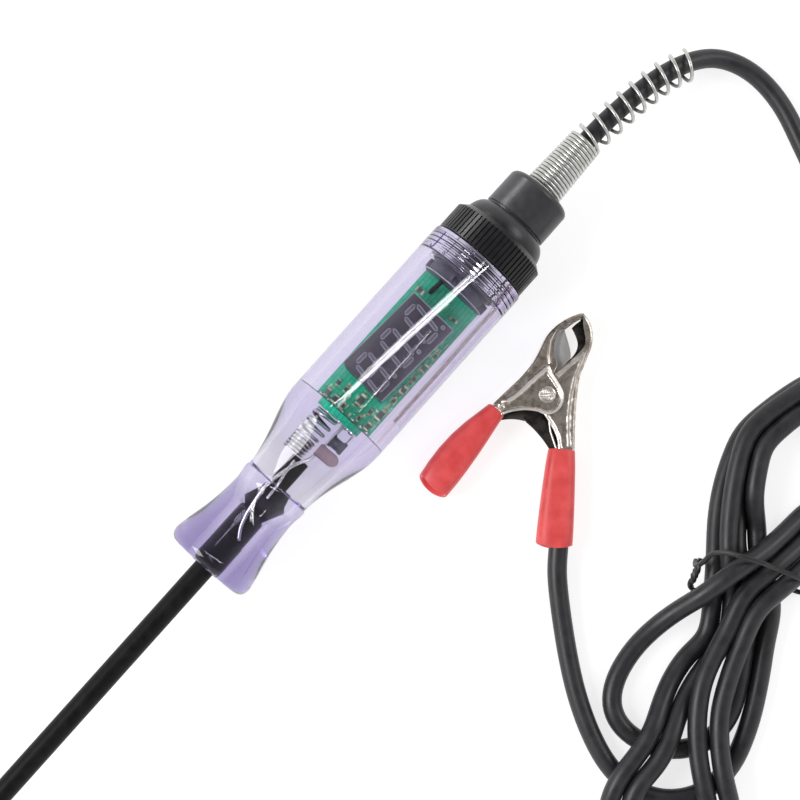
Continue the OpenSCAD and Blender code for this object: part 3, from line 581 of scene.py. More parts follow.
# Round the right-hand lobe: angle, then each pass's radius and height
RING_CENTRE = (105.3, -89.6)
RING = [
    (-86, (20, 15.3, 10.6), (2.25, 2.25, 2.25)), (-58, (20, 15.3, 10.6), (2.25, 2.25, 2.25)),
    (-30, (20, 15.3, 10.6), (2.25, 2.25, 2.25)), (-2, (20, 15.3, 10.7), (3.2, 2.25, 3.4)),
    (26, (19.3, 13.6, 11.0), (5.9, 2.25, 6.0)), (54, (17.2, 12.4, 11.4), (6.75, 2.25, 6.75)),
    (78, (16.4, 12.3, 12.2), (6.75, 2.25, 6.75)),
]
# Round the left-hand lobe, one loop for each pass
FAR_LOOPS = [
    [(49.2, -94.6), (42.6, -95.3, 2.7), (36.6, -97.0, 4.6), (30.6, -99.2, 6.75),
     (24.5, -100.3, 6.75), (17.7, -100.7, 6.75), (10.2, -103.9, 4.6), (6.3, -110),
     (6.6, -118.4), (11.8, -125.2), (20, -127.8), (28.2, -125.2, 4.6),
     (32.6, -119.0, 6.75), (37.4, -113.4, 6.75), (43.4, -108.2, 6.75), (51, -104.4, 6.75)],
    [(50.0, -99.2), (43.8, -99.9, 2.7), (37.4, -101.4, 4.8), (31.0, -103.8, 6.75),
     (24.8, -105.0, 6.75), (18.4, -105.0, 6.75), (13.0, -107.7, 5.6), (10.7, -113.5, 3.0),
     (12.6, -119.6), (18.3, -123.0, 2.6), (24.6, -121.6, 5.2), (29.0, -115.8, 6.75),
     (33.4, -110.4, 6.75), (39.2, -105.0, 7.0), (46.2, -100.6, 7.0), (53.4, -98.4, 6.75)],
    [(52, -107.4), (44.5, -110.8), (37, -110.6), (30.8, -106.5),
     (27.2, -100), (26.7, -93.6), (28.6, -89.3), (32.3, -86.6),
     (37, -85.1), (42.8, -84.5), (49.3, -85.0, 3.0), (55.4, -86.2, 5.4)],
    [(54, -111.4), (45, -115.9), (36, -118.4), (27.5, -117.2),
     (21.2, -112.3), (18, -105.2), (18.2, -97.6), (20.8, -90.0)],
]
CLIP_ROUTE = [
    (25.2, -81.9), (29.8, -75.4, 2.3), (34.6, -69.4, 2.6), (39.4, -63.8, 3.1),
    (43.4, -59.6, 3.6), (47.5, -56.47, 3.95), (54.93, -50.93, 3.95),
]


def row_points(rows, turn):
    """Where one pass of the cable crosses each row."""
    out = []
    for x, y, angle, offsets, heights in rows:
        a = radians(angle)
        out.append((x + offsets[turn] * cos(a), y + offsets[turn] * sin(a), heights[turn]))
    return out


def cable_points():
    points = list(LEAD_ROUTE)
    back = ROW_OVER + [(*RING_CENTRE, *row) for row in RING]
    for turn, far_loop in enumerate(FAR_LOOPS):
        points += row_points(ROW_UNDER, turn) + far_loop
        if turn < len(FAR_LOOPS) - 1:
            points += row_points(back, turn)
    return [(*p, CABLE_D / 2)[:3] for p in points + CLIP_ROUTE]


def make_cable():
    path = soften(spline(cable_points(), 1.25), 5)
    cable = new_piece("cable", tube(path, CABLE_D / 2, 16), "cable",
                      ("cable_lead", "cable_hank", "clip_lead"))
    return cable, path


def make_tie():
    """A thin wire tie round the hank's waist, its ends twisted at one side."""
    over = [(66.3, -82.0, 1.6), (65.3, -82.3, 3.6), (65.2, -82.6, 6.2), (66.6, -82.8, 8.6),
            (68.8, -82.9, 10.2), (70.8, -84.6, 12.2), (72.7, -88.2, 13.7), (74.7, -92.6, 12.6),
            (76.2, -96.3, 10.7), (77.6, -100.3, 10.1), (78.6, -103.3, 7.6), (78.4, -104.7, 4.2),
            (77.0, -104.9, 1.4)]
    under = [(75.4, -101.2, 0.62), (72.4, -94.6, 0.62), (69.4, -88.0, 0.62), (67.6, -84.0, 0.64),
             (66.8, -82.4, 0.8)]
    twist_from, twist_to, twists, steps = Vector((65.5, -82.7, 6.9)), Vector((62, -84, 5)), 1.8, 40
    across, up = Vector((0.6, 0.75, 0.2)).normalized(), Vector((0, 0, 1))
    tails = [], []
    for i in range(steps):
        share = i / (steps - 1)
        a = share * 2 * pi * twists
        middle = twist_from.lerp(twist_to, share)
        off = (across * cos(a) + up * sin(a)) * (0.7 * min(1.0, 6 * share))
        for side, tail in zip((off, -off), tails):
            tail.append(tuple(middle + side))
    tails[0].extend([(60.9, -84.2, 4.9), (60.6, -85.2, 4.3), (60.9, -86.0, 3.6)])
    tails[1].extend([(61.4, -84.3, 3.6), (61.2, -85.0, 2.6)])
    parts = [tube(spline(over + under, 0.6), 0.6, 8)]
    parts += [tube(spline(tail, 0.5), 0.55, 8, True) for tail in tails]
    return new_piece("wire_tie", join(*parts), "tie", ["twist_tie"])


# The handle and what is in it


def handle_profile():
    """The outside from the nose to the mouth, then the thread and the bore back to the nose."""
    flare, waist, bore = 10.75, 8.15, 3.8
    step = waist + 0.35
    neck, mouth, barrel = NECK_WALL, HANDLE_LEN, BARREL_R
    turns, pitch, depth = 4, 1.1, 0.33
    thread = []
    for k in range(turns):
        at = mouth - 0.5 - k * pitch
        thread += [(at - 0.12, MOUTH_R), (at - 0.48, MOUTH_R + depth), (at - 0.62, MOUTH_R + depth),
                   (at - 0.98, MOUTH_R)]
    return trace(
        (0, flare - 2.4),
        ((0, flare - 0.9), (0.9, flare), (2.6, flare), 10),
        ((7, flare - 0.45), (11, waist + 0.15), (20, waist), 22),
        ((21.3, waist), (21.6, step), (22.3, step), 6),
        (neck - 0.25, step), (neck - 0.08, step - 0.05), (neck, step - 0.18),
        (neck + 0.05, waist + 0.1), (neck + 0.3, waist + 0.06),
        ((31.5, waist + 0.45), (37.5, barrel), (SHOULDER_END, barrel), 24),
        *[(x, barrel) for x in (50, 60, 70, 80, mouth - 0.9, mouth - 0.6)],
        (mouth - 0.45, barrel - 0.02), (mouth - 0.15, barrel - 0.12), (mouth, barrel - 0.4),
        (mouth, MOUTH_R + 0.5), (mouth - 0.5, MOUTH_R),
        *thread,
        (MOUTH_START, MOUTH_R), (MOUTH_START - 0.1, MOUTH_R + 0.1),
        (MOUTH_START - 0.55, BORE_R - 0.1),
        *[(MOUTH_START - back, BORE_R) for back in (0.75, 1.0, 1.5)],
        *[(x, BORE_R) for x in (80, 70, 60, 50, CHAMBER_END + 0.15)],
        (CHAMBER_END, BORE_R - 0.15), (CHAMBER_END, BORE_R - 0.6),
        ((38, BORE_R - 1.3), (30, bore + 3.6), (neck + 0.8, bore + 3.2), 12),
        (neck + 0.1, bore + 3.1), (neck, bore + 3), (neck, bore + 2.1),
        ((21, bore + 1.9), (19, bore + 1.3), (15, bore), 10),
        (10, bore), (5, bore), (0.5, bore), (0.12, bore + 0.12), (0, bore + 0.3),
    )


def make_handle():
    handle = new_piece("clear_handle", revolve(handle_profile(), NOSE_X, 144), "handle",
                       ["handle_shell"], smooth_below=42)
    fix_normals(handle)
    return handle


def make_mould_marks():
    """Two deep violet lines along the thread, each with a small hook at its front."""
    marks = [(90.9, 49), (89.5, 49), (88.0, 49), (86.9, 49.5), (86.4, 51), (86.5, 53.5),
             (86.9, 54.5)]
    parts = []
    for side in (1, -1):
        turns = [(x, radians(90 + side * turn)) for x, turn in marks]
        route = [in_handle((x, BARREL_R * cos(a), BARREL_R * sin(a))) for x, a in turns]
        parts.append(tube(spline(route, 0.2), 0.17, 8, True))
    new_piece("mould_marks", join(*parts), "violet", smooth_below=60)


PER_TURN = 28
COIL_SIDES = 12


def wind(name, wire, route, middles, looks, least, node):
    """A coil of wire; its faces that don't look outward get the second, darker look: painted shade
    between and inside the turns.
    """
    spring = new_piece(name, tube(route, wire, COIL_SIDES, True), looks[0], [node],
                       smooth_below=80)
    spring.data.materials.append(materials[looks[1]])
    out = unit(np.asarray(route, float) - np.asarray(middles, float))
    end_faces = 3 * COIL_SIDES
    for i, face in enumerate(spring.data.polygons):
        step = min(max((i - end_faces) // COIL_SIDES, 0), len(route) - 2)
        middle = (np.asarray(route[step]) + np.asarray(route[step + 1])) / 2
        way = np.array(face.center) / MM - middle
        # Faces that don't look outward take the dark look: painted shade.
        if np.dot(way, out[step]) < least * np.linalg.norm(way):
            face.material_index = 1
    return spring


def make_contact_spring():
    """Close wound over the rod's end, open towards the round board."""
    close, opened, wire = 5.0, 3.5, 0.36
    start, finish, pitch = 33.1, 43.1, 0.9
    open_pitch = (finish - start - close * pitch) / opened
    turns = close + opened + 1
    route, middles = [], []
    for i in range(int(turns * PER_TURN) + 1):
        t = i / PER_TURN
        x = start + t * pitch
        if t >= close:
            x = min(start + close * pitch + (t - close) * open_pitch, finish)
        y = 2.8 - 0.4 * t / turns
        r = 2.4 + 0.45 * t / turns - 0.5 * max(0, t - turns + 1)
        a = 2 * pi * t
        middles.append(in_handle((x, y, 0)))
        route.append(in_handle((x, y + r * cos(a), r * sin(a))))
    wind("contact_coil", wire, route, middles, ("coil", "shade"), 0.6, "contact_spring")


def make_strain_spring():
    """Close wound out of the cap, then open along the cable."""
    wire, seat, out_len = 0.43, 5.0, 15.5
    pitch = 2 * wire + 0.04
    close = int((out_len + seat) / pitch)
    opened, settle = 8.5, 0.75
    start_x = CAP_X + CAP_LEN - seat + wire + 0.05
    base_r, open_r = 4.9 - wire, 4.0 - wire
    axis = spline([
        (start_x + close * pitch, 0, AXIS_Z - 0.05), (124, -0.3, 12.15), (128, -0.8, 11.8),
        (132, -1.2, 11.2), (136, -1.7, 10.4), (140, -2.3, 9.6), (144, -3.1, 8.6),
        (147.8, -4.2, 7.5), (151.2, -5.6, 6.2),
    ], 0.2)
    share_of = np.linspace(0, 1, len(axis))
    rise = np.array((0, 0, 1))

    def place(t):
        if t <= close:
            return np.array((start_x + t * pitch, 0, AXIS_Z))
        u = (t - close) / opened
        return np.array([np.interp(u, share_of, axis[:, k]) for k in range(3)])

    route, middles = [], []
    for i in range(int((close + opened) * PER_TURN) + 1):
        t = i / PER_TURN
        side = unit(np.cross(unit(place(t + 0.05) - place(t - 0.05)), rise))
        if t <= close:
            r = base_r + (open_r + 0.1 - base_r) * t / close
        else:
            r = open_r + 0.1 * max(0, 1 - (t - close) / settle)
        a = 2 * pi * t
        middles.append(place(t))
        route.append(place(t) + r * (cos(a) * side + sin(a) * rise))
    return wind("relief_spring", wire, route, middles, ("spring", "spring_side"), 0.3,
                "strain_spring")


def make_wires():
    probe = [(9.2, -1.4, 3.12), (11.4, -0.3, 3.14), (14.3, 0.5, 3.25), (19.9, 1.4, 3.45),
             (23.4, 1.6, 3.5), (27.6, 0.9, 3.4), (29.4, 0.45, 3.4), (31.6, -0.3, 3.0),
             (33.6, -1.3, 2.2), (35.2, -1.6, 1.75)]
    link = [(20.6, -0.3, 3.3), (24.3, 0, 3.2), (28.6, 0.6, 2.65), (31.2, 0.8, 2.65)]
    for name, node, route, r in (("tinned_wire", "probe_wire", probe, 0.4),
                                 ("tinned_link", "link_wire", link, 0.33)):
        bar = tube(spline([in_handle(p) for p in route], 0.35), r, 10, True)
        new_piece(name, bar, "wire", [node], smooth_below=80)


def make_board_marks():
    """Printed frames and bare pads on the board's top."""
    random.seed(7)
    marks, pads = [], []
    frames, frame_x, frame_y, frame_pitch, frame_long = 14, 47.4, -7.4, 1.9, 1.3
    sizes = [(0.8, 0.5), (0.5, 0.8), (1.1, 0.25), (0.25, 1.0)]

    def lay(target, x0, y0, x1, y1, high):
        target.append(box_part(in_handle((x0, y0, BOARD_TOP)),
                               in_handle((x1, y1, BOARD_TOP + high))))

    for k in range(frames):
        x = frame_x + frame_pitch * k
        y = frame_y + 0.25 * sin(1.7 * k)
        lay(marks, x, y - 0.1, x + frame_long, y + 0.1, 0.04)
        lay(marks, x, y + 1.15, x + frame_long, y + 1.32, 0.04)
    for k in range(46):
        x = random.uniform(46.2, 53.2) if k % 2 else random.uniform(47, 72)
        y = random.uniform(-7.2, 6.8) if k % 2 else random.uniform(-7.3, -6.0)
        w, h = random.choice(sizes)
        target = pads if random.random() < 0.55 else marks
        lay(target, x - w / 2, y - h / 2, x + w / 2, y + h / 2, 0.05)
    new_piece("board_print", join(*marks), "mark", smooth_below=20)
    new_piece("board_pads", join(*pads), "tinned", smooth_below=20)


# Chip parts on the board: place, size along and across, height
CHIPS = [
    (2, 5.9, 2, 1.25, 0.6), (2, 3.6, 2, 1.25, 0.6), (2, 1.2, 1.6, 0.8, 0.5), (5.6, -1, 2.9, 1.4, 1),
    (5.2, 3.2, 1.6, 0.8, 0.5), (5.2, 5.6, 1.6, 0.8, 0.5), (2.2, -3.4, 1.6, 0.8, 0.5),
    (5, -4.4, 1.6, 0.8, 0.5), (2.2, -6.2, 2, 1.25, 0.6), (6, -6.7, 2.9, 1.4, 1),
    (10.4, -6.8, 1.6, 0.8, 0.5), (13.6, -6.8, 2, 1.25, 0.6), (17, -6.9, 1.6, 0.8, 0.5),
    (20.4, -7, 2, 1.25, 0.6), (24, -7.1, 1.6, 0.8, 0.5), (32.98, 5.7, 1.25, 2, 0.6),
    (32.98, -4.6, 0.8, 1.6, 0.5),
]
BOX_FACES = box_part((0, 0, 0), (1, 1, 1))[1]
WEDGE_FACES = [(0, 1, 3, 2), (0, 4, 1), (2, 3, 5), (1, 4, 5, 3), (0, 2, 5, 4)]


def make_chips():
    """Each part is a body between two tinned ends, with a wedge of solder at either end."""
    bodies, tinned = [], []
    for x, y, along, across, high in CHIPS:
        x += CHAMBER_END
        turned = across > along
        u, v = (across, along) if turned else (along, across)

        def place(a, b, c):
            a, b = (b, a) if turned else (a, b)
            return in_handle((x + a, y + b, BOARD_TOP + c))

        def block(a0, a1, half, low, top):
            return [place(a, b, c) for c in (low, top) for b in (-half, half)
                    for a in (a0, a1)], BOX_FACES

        cap = 0.2 * u
        bodies.append(block(-u / 2 + cap * 0.7, u / 2 - cap * 0.7, v / 2 - 0.05, 0.04, high - 0.03))
        for side in (-1, 1):
            tinned.append(block(side * u / 2 - (cap if side > 0 else 0),
                                side * u / 2 + (cap if side < 0 else 0), v / 2, 0.02, high))
            wedge = [place(side * (u / 2 - 0.02), b, c) for b in (-v / 2, v / 2)
                     for c in (0.0, 0.55 * high)]
            wedge += [place(side * (u / 2 + 0.28), b, 0.02) for b in (-v / 2, v / 2)]
            tinned.append((wedge, WEDGE_FACES))
    body_part = join(*bodies)
    piece = new_piece("chip_parts", join(body_part, *tinned), "chip",
                      ["surface_parts"], smooth_below=30)
    piece.data.materials.append(materials["tinned"])
    for face in piece.data.polygons[len(body_part[1]):]:
        face.material_index = 1
    fix_normals(piece)
    round_edges(piece, 0.05, 40)


def make_plug_rim_highlight():
    """A thin light bead round the upper half of the plug's front face: its light colour is a
    painted highlight on the rim.
    """
    turns = [radians(16 + 148 * i / 59) for i in range(60)]
    route = [in_handle((82.78, 8.15 * cos(a), 8.15 * sin(a))) for a in turns]
    new_piece("plug_rim_highlight", tube(route, 0.12, 8, True), "plug_edge")


def solder_blob(centre, r, height, on_board):
    """A small dome of solder on the board's top, or else on the round board's face."""
    rings, segments = 5, 14
    spots = []
    for i in range(rings):
        a = pi / 2 * i / rings
        spots += [(r * cos(a) * c, r * cos(a) * s, height * sin(a))
                  for c, s in circle(segments)]
    spots.append((0, 0, height))
    if not on_board:
        spots = [(-w, u, v) for u, v, w in spots]
    points = [tuple(c + d for c, d in zip(centre, spot)) for spot in spots]
    return points, dome_faces(rings, segments)


def make_solder():
    face_x, board_r, board_h = CHAMBER_END - 1.6, 0.55, 0.4
    on_face = [(-4.6, 1.2, 0.75), (-4.2, -0.6, 0.8), (-2.6, -3.6, 0.7), (0.2, -4.4, 0.6),
               (-3.4, 3.2, 0.6), (2.2, 4.2, 0.55), (-1.0, 4.6, 0.6)]
    on_top = [(0.8, -6.9), (0.9, -4.9), (1.0, -2.6), (0.8, 0.6), (0.9, 4.6), (0.8, 6.9)]
    parts = [solder_blob(in_handle((face_x, y, z)), r, 0.7 * r, False) for y, z, r in on_face]
    parts += [solder_blob(in_handle((CHAMBER_END + x, y, BOARD_TOP)), board_r, board_h, True)
              for x, y in on_top]
    fix_normals(new_piece("solder_joints", join(*parts), "solder", smooth_below=60))


def on_display(x, y, z):
    """A point of the display: its middle at x = y = 0, its top face at z = 0."""
    c, s = cos(DISPLAY_TURN), sin(DISPLAY_TURN)
    return in_handle((DISPLAY_MID + x * c - y * s, DISPLAY_Y + x * s + y * c, DISPLAY_TOP + z))


def bar_outline(x, y, half_long, half_wide, upright):
    """A bar with pointed ends and its middle at x, y."""
    e, b = half_long, half_wide
    flat = [(-e, 0), (-e + b, -b), (e - b, -b), (e, 0), (e - b, b), (-e + b, b)]
    return [(x - v, y + u) if upright else (x + u, y + v) for u, v in flat]


def digit_outlines(grow):
    """The seven bars and the point of one digit; grow widens each of them."""
    half_h, half_w, bar, slant, joint_gap, point_gap = 4.3, 2.408, 0.95, 0.14, 0.3, 0.4
    b = bar / 2 + grow
    up, right = half_h - bar / 2, half_w - bar / 2
    shapes = [bar_outline(0, y, right - joint_gap + grow, b, False) for y in (-up, 0, up)]
    shapes += [bar_outline(x, y, up / 2 - joint_gap + grow, b, True)
               for x in (-right, right) for y in (-up / 2, up / 2)]
    shapes = [[(x + slant * y, y) for x, y in shape] for shape in shapes]
    return shapes + [[(half_w + point_gap + b * c, -up + b * s) for c, s in circle(20)]]


def make_segments():
    """Each bar is a grey plate with a lighter rim, set in its pocket."""
    low, top, rim_w, digit_pitch, digits_back = -0.38, -0.05, 0.17, 7.6, 0.4
    points, faces, rims = [], [], []
    for i in (-1, 0, 1):
        for outer, inner in zip(digit_outlines(0), digit_outlines(-rim_w)):
            n, start = len(outer), len(points)
            for shape, z in ((outer, low), (outer, top - 0.03), (inner, top)):
                points += [on_display(x + digit_pitch * i - digits_back, y, z) for x, y in shape]
            rims += range(len(faces) + n, len(faces) + 2 * n)
            plate = skin(3, n) + [range(2 * n, 3 * n), range(n - 1, -1, -1)]
            faces += [tuple(start + k for k in face) for face in plate]
    piece = new_piece("digit_bars", (points, faces), "segment",
                      ["display_segments"], smooth_below=20)
    piece.data.materials.append(materials["segment_rim"])
    for face in rims:
        piece.data.polygons[face].material_index = 1


def make_display_highlight_strips():
    """Thin light strips along the display face's edges: a painted highlight on its top edges."""
    half_x, half_y, wide, high = 11.25, 5.75, 0.16, 0.06
    parts = []
    for x0, y0, x1, y1 in (
        (-half_x, -half_y, half_x, -half_y + wide), (half_x - wide, -half_y, half_x, half_y),
        (-half_x + 0.6, half_y - wide * 0.6, half_x, half_y),
    ):
        points, faces = box_part((x0, y0, 0), (x1, y1, high))
        parts.append(([on_display(*p) for p in points], faces))
    new_piece("display_highlight_strips", join(*parts), "segment_rim", smooth_below=20)


# The clip. Each half has its outer edge, and the inner outlines of its near side plate and of
# the far one, which is wider. x runs to the jaw's tip, and the pin is at x = y = 0.

MOVING_HALF = (
    trace((20.6, 0.1), ((19.2, 2.4), (16, 4.8), (12.5, 5.6), 14),
          ((9.5, 6.1), (7.5, 5.0), (0.7, 7.3), 14),
          (-3, 8.8), (-6.5, 10.2), (-12, 11.7), (-18, 13.35), (-24, 15)),
    trace((-24.6, 12.9), (-16, 10.3), (-12.5, 9.4),
          ((-7.4, 8.0), (-5.1, 3.6), (-4.45, 0.2), 16),
          ((-4.75, -2.2), (-2.9, -4.05), (-0.6, -4.0), 12),
          ((1.9, -3.95), (3.1, -2.0), (4.75, 0.75), 12), (7.2, 0.7), (7.9, 1.5),
          ((9.0, 2.8), (11.5, 3.5), (14.0, 3.7), 8),
          (14.4, 3.1), (14.9, 3.5), (15.3, 2.75), (15.8, 3.05), (16.2, 2.2), (16.7, 2.45),
          (17.2, 1.6), (18.3, 1.0), (19.2, 0.35)),
    trace((-24.6, 12.9), (-16, 10.6), (-12, 9.5), (-10.4, 8.4),
          ((-8.9, 7.0), (-7.6, 4.8), (-7.2, 2.6), 10),
          ((-6.4, -2.6), (-3.0, -4.6), (0.4, -3.4), 12),
          (3.3, -0.9), (5.2, -0.7), (8.7, -1.3), (10.0, -1.7),
          ((11.3, -1.8), (13.0, -0.3), (15.9, 2.3), 8), (17.2, 1.6), (18.3, 1.0), (19.2, 0.35)),
)
FIXED_HALF = (
    trace((20.4, -0.4), ((19.2, -2.9), (16.9, -4.6), (13.2, -4.9), 12), (10.5, -5.0), (7.3, -5.1),
          ((3.6, -5.9), (-2, -7.9), (-8.4, -10.8), 12), (-14, -12.8), (-21, -15.3)),
    trace((-22.2, -12), (-16, -9.6), (-9.9, -7.3),
          ((-7.2, -6), (-4.9, -2.4), (-3.3, 0.9), 12),
          ((-2.6, 3.6), (1.6, 4.6), (3.2, 1.2), 12), (7.4, -0.7),
          ((9.6, -1.7), (12.2, -3.2), (14.3, -3.2), 8),
          ((16.2, -2.7), (17.4, -1.0), (19.2, -0.45), 6)),
    trace((-22.2, -12), (-16, -9.6), (-12.4, -8.1),
          ((-10.2, -5.4), (-8.0, -1.6), (-7.4, 1.3), 14),
          ((-6.8, 3.2), (-4.6, 4.0), (-2.0, 3.9), 8),
          ((0.6, 3.8), (2.6, 2.8), (3.4, 1.0), 8), (7.4, -0.5), (9.4, -1.3),
          ((13.4, -3.0), (14.6, -2.0), (16.9, 1.0), 10), (18.1, 0.5), (19.2, -0.1)),
)

# Pressed beads of the upper half: the line, its half width and its height
MAIN_CREASE = [(-5.2, 7.6), (-4.5, 7.25), (-3.28, 6.4), (-1.43, 5.56), (0.84, 4.71), (3.19, 3.69),
               (5.36, 2.6)]
SIDE_CREASE = [(5.36, 2.6), (5.0, 1.9), (4.37, 0.85), (3.5, -0.6), (2.45, -2.2)]
EAR_RIM = [(2.45, -2.2), (1.6, -3.1), (0.9, -3.5), (-0.14, -3.68), (-1.4, -3.62), (-2.51, -3.24),
           (-3.34, -2.58), (-3.95, -1.62), (-4.15, -0.86), (-4.15, 0.3), (-4.75, 2.17),
           (-5.5, 4.0), (-6.4, 5.5), (-7.4, 6.8), (-8.1, 7.4)]
JAW_RIM = [(6.8, 2.3), (8.4, 3.3), (11.5, 4.3), (14.4, 4.2)]
BEADS = [(MAIN_CREASE, 0.8, 0.48), (SIDE_CREASE, 0.55, 0.3), (EAR_RIM, 0.55, 0.4),
         (JAW_RIM, 0.5, 0.1)]
# and of the lower half, along its back, under its jaw and at the handle's inner edge
BACK_RIM = [(12.4, -3.9), (9.5, -4.0), (6.5, -4.1), (3.0, -4.8), (0.2, -5.6), (-2.4, -6.5),
            (-5.4, -7.8), (-8.6, -9.4)]
LOWER_JAW_RIM = [(4.9, -0.4), (7.6, -1.6), (9.6, -2.5), (11.8, -3.7)]
INNER_RIM = [(-9.7, -7.7), (-7.6, -6.25), (-5.8, -4.3), (-4.2, -1.8)]
LOWER_BEADS = [(BACK_RIM, 0.65, 0.2), (LOWER_JAW_RIM, 0.6, 0.3), (INNER_RIM, 0.45, 0.25)]
# Short ribs at the upper handle's root: how they follow each other, and the box they lie in
RIB_WAY = np.array((0.91, -0.41))
RIBS_LOW, RIBS_HIGH = (-9.2, 6), (-4.2, 20)
PIN_HOLE_R = 1.3


def line_distance(points, line, closed=False):
    """How far each point is from a line of points."""
    p = np.atleast_2d(np.asarray(points, float))[:, None]
    a = np.asarray(line, float)
    b = np.roll(a, -1, axis=0)
    if not closed:
        a, b = a[:-1], b[:-1]
    way = b - a
    t = np.clip(((p - a) * way).sum(2) / (way * way).sum(1), 0, 1)
    return np.linalg.norm(p - a - t[..., None] * way, axis=2).min(axis=1)


def inside_outline(points, line):
    x, y = np.atleast_2d(np.asarray(points, float)).T
    hit = np.zeros(len(x), bool)
    for (x1, y1), (x2, y2) in zip(line, line[1:] + line[:1]):
        if y1 != y2:
            hit ^= ((y1 > y) != (y2 > y)) & (x < (x2 - x1) * (y - y1) / (y2 - y1) + x1)
    return hit


def bead_lift(points, beads):
    lift = np.zeros(len(points))
    for line, half_w, high in beads:
        share = np.clip(1 - (line_distance(points, line) / half_w) ** 2, 0, 1)
        lift = np.maximum(lift, high * share ** 1.5)
    return lift


def moving_height(points):
    """Beads round the pressed pan, and the short ribs at the handle's root."""
    high, pitch, start, end, fade = 0.28, 1.15, -11.1, -7.0, 0.4
    middle, half_long = 4.85, 0.85
    along, across = points @ RIB_WAY, points @ left_of(RIB_WAY)
    ribs = high * np.cos(pi * (along + 9.6) / pitch) ** 2
    ribs *= np.clip(1 - ((across - middle) / half_long) ** 4, 0, 1)
    ribs *= np.clip((along - start) / fade, 0, 1) * np.clip((end - along) / fade, 0, 1)
    return np.maximum(bead_lift(points, BEADS), ribs)


def fixed_height(points):
    """Uneven beads, and a slightly dented sheet."""
    x, y = points.T
    dents = 0.025 * np.sin(2.9 * x + 1.3 * y) * np.sin(1.9 * y - 0.8 * x)
    return dents + bead_lift(points, LOWER_BEADS) * (0.85 + 0.15 * np.sin(1.5 * x))


def point_grid(outline, step):
    """Staggered rows of points over an outline's box."""
    low, high = np.min(outline, axis=0), np.max(outline, axis=0)
    rows = []
    for i, y in enumerate(np.arange(low[1], high[1], step * 0.87)):
        x = np.arange(low[0] + (i % 2) * step / 2, high[0], step)
        rows.append(np.stack([x, np.full(len(x), y)], axis=1))
    return np.vstack(rows)


def plate_points(outline, beads, ribbed):
    """Points inside an outline: rows along the beads, and a grid between them."""
    step, rib_step, bead_step, apart, edge_gap, cell = 0.4, 0.19, 0.28, 0.12, 0.13, 0.13
    shares = (0, 0.28, -0.28, 0.56, -0.56, 0.85, -0.85)
    tries = []
    for line, half_w, _ in beads:
        way = resample([(*p, 0) for p in line], bead_step)[:, :2]
        side = left_of(unit(np.gradient(way, axis=0)).T).T
        tries += [way + side * share * half_w for share in shares]

    def off_beads(points):
        far = [line_distance(points, line) > half_w + 0.1 for line, half_w, _ in beads]
        return points[np.all(far, axis=0)]

    if ribbed:
        fine = off_beads(point_grid(outline, rib_step))
        tries.append(fine[np.all((fine > RIBS_LOW) & (fine < RIBS_HIGH), axis=1)])
    tries.append(off_beads(point_grid(outline, step)))
    points = np.vstack(tries)
    points = points[inside_outline(points, outline) & (np.hypot(*points.T) > PIN_HOLE_R + 0.2)]
    points = points[line_distance(points, outline, closed=True) > edge_gap]
    kept, cells = [], {}
    for p in points:
        i, j = (int(c // cell) for c in p)
        near = [q for di in (-1, 0, 1) for dj in (-1, 0, 1)
                for q in cells.get((i + di, j + dj), [])]
        if all(dist(p, q) > apart for q in near):
            kept.append(tuple(p))
            cells.setdefault((i, j), []).append(tuple(p))
    return kept


def rounded(p):
    return (round(p[0], 4), round(p[1], 4))


def add_side_plate(bm, outline, rim, half, face_side, height_at, beads, ribbed):
    """A flat side of a stamped half with its beads and its hole for the pin."""
    hole = [(PIN_HOLE_R * c, PIN_HOLE_R * s) for c, s in circle(24)]
    count, ring = len(outline), len(hole)
    edges = around(count) + [(count + k, count + m) for k, m in around(ring)]
    spare = plate_points(outline, beads, ribbed)
    flat = delaunay_2d_cdt([Vector(p) for p in outline + hole + spare], edges, [], 0, 1e-6)
    places = np.array([tuple(p) for p in flat[0]])
    raised = bead_lift(places, beads) > 0.08
    made = [rim.get(rounded(p)) or bm.verts.new((*p, face_side * (half + lift)))
            for p, lift in zip(places, height_at(places))]
    middles = np.array([places[list(f)].mean(axis=0) for f in flat[2]])
    wanted = inside_outline(middles, outline) & (np.hypot(*middles.T) > PIN_HOLE_R * 0.98)
    for f, keep in zip(flat[2], wanted):
        if keep:
            face = bm.faces.new([made[i] for i in f])
            # Faces wholly on a raised bead get the lighter look: wear, and painted highlight along
            # the ridges.
            face.material_index = 2 if all(raised[i] for i in f) else 0


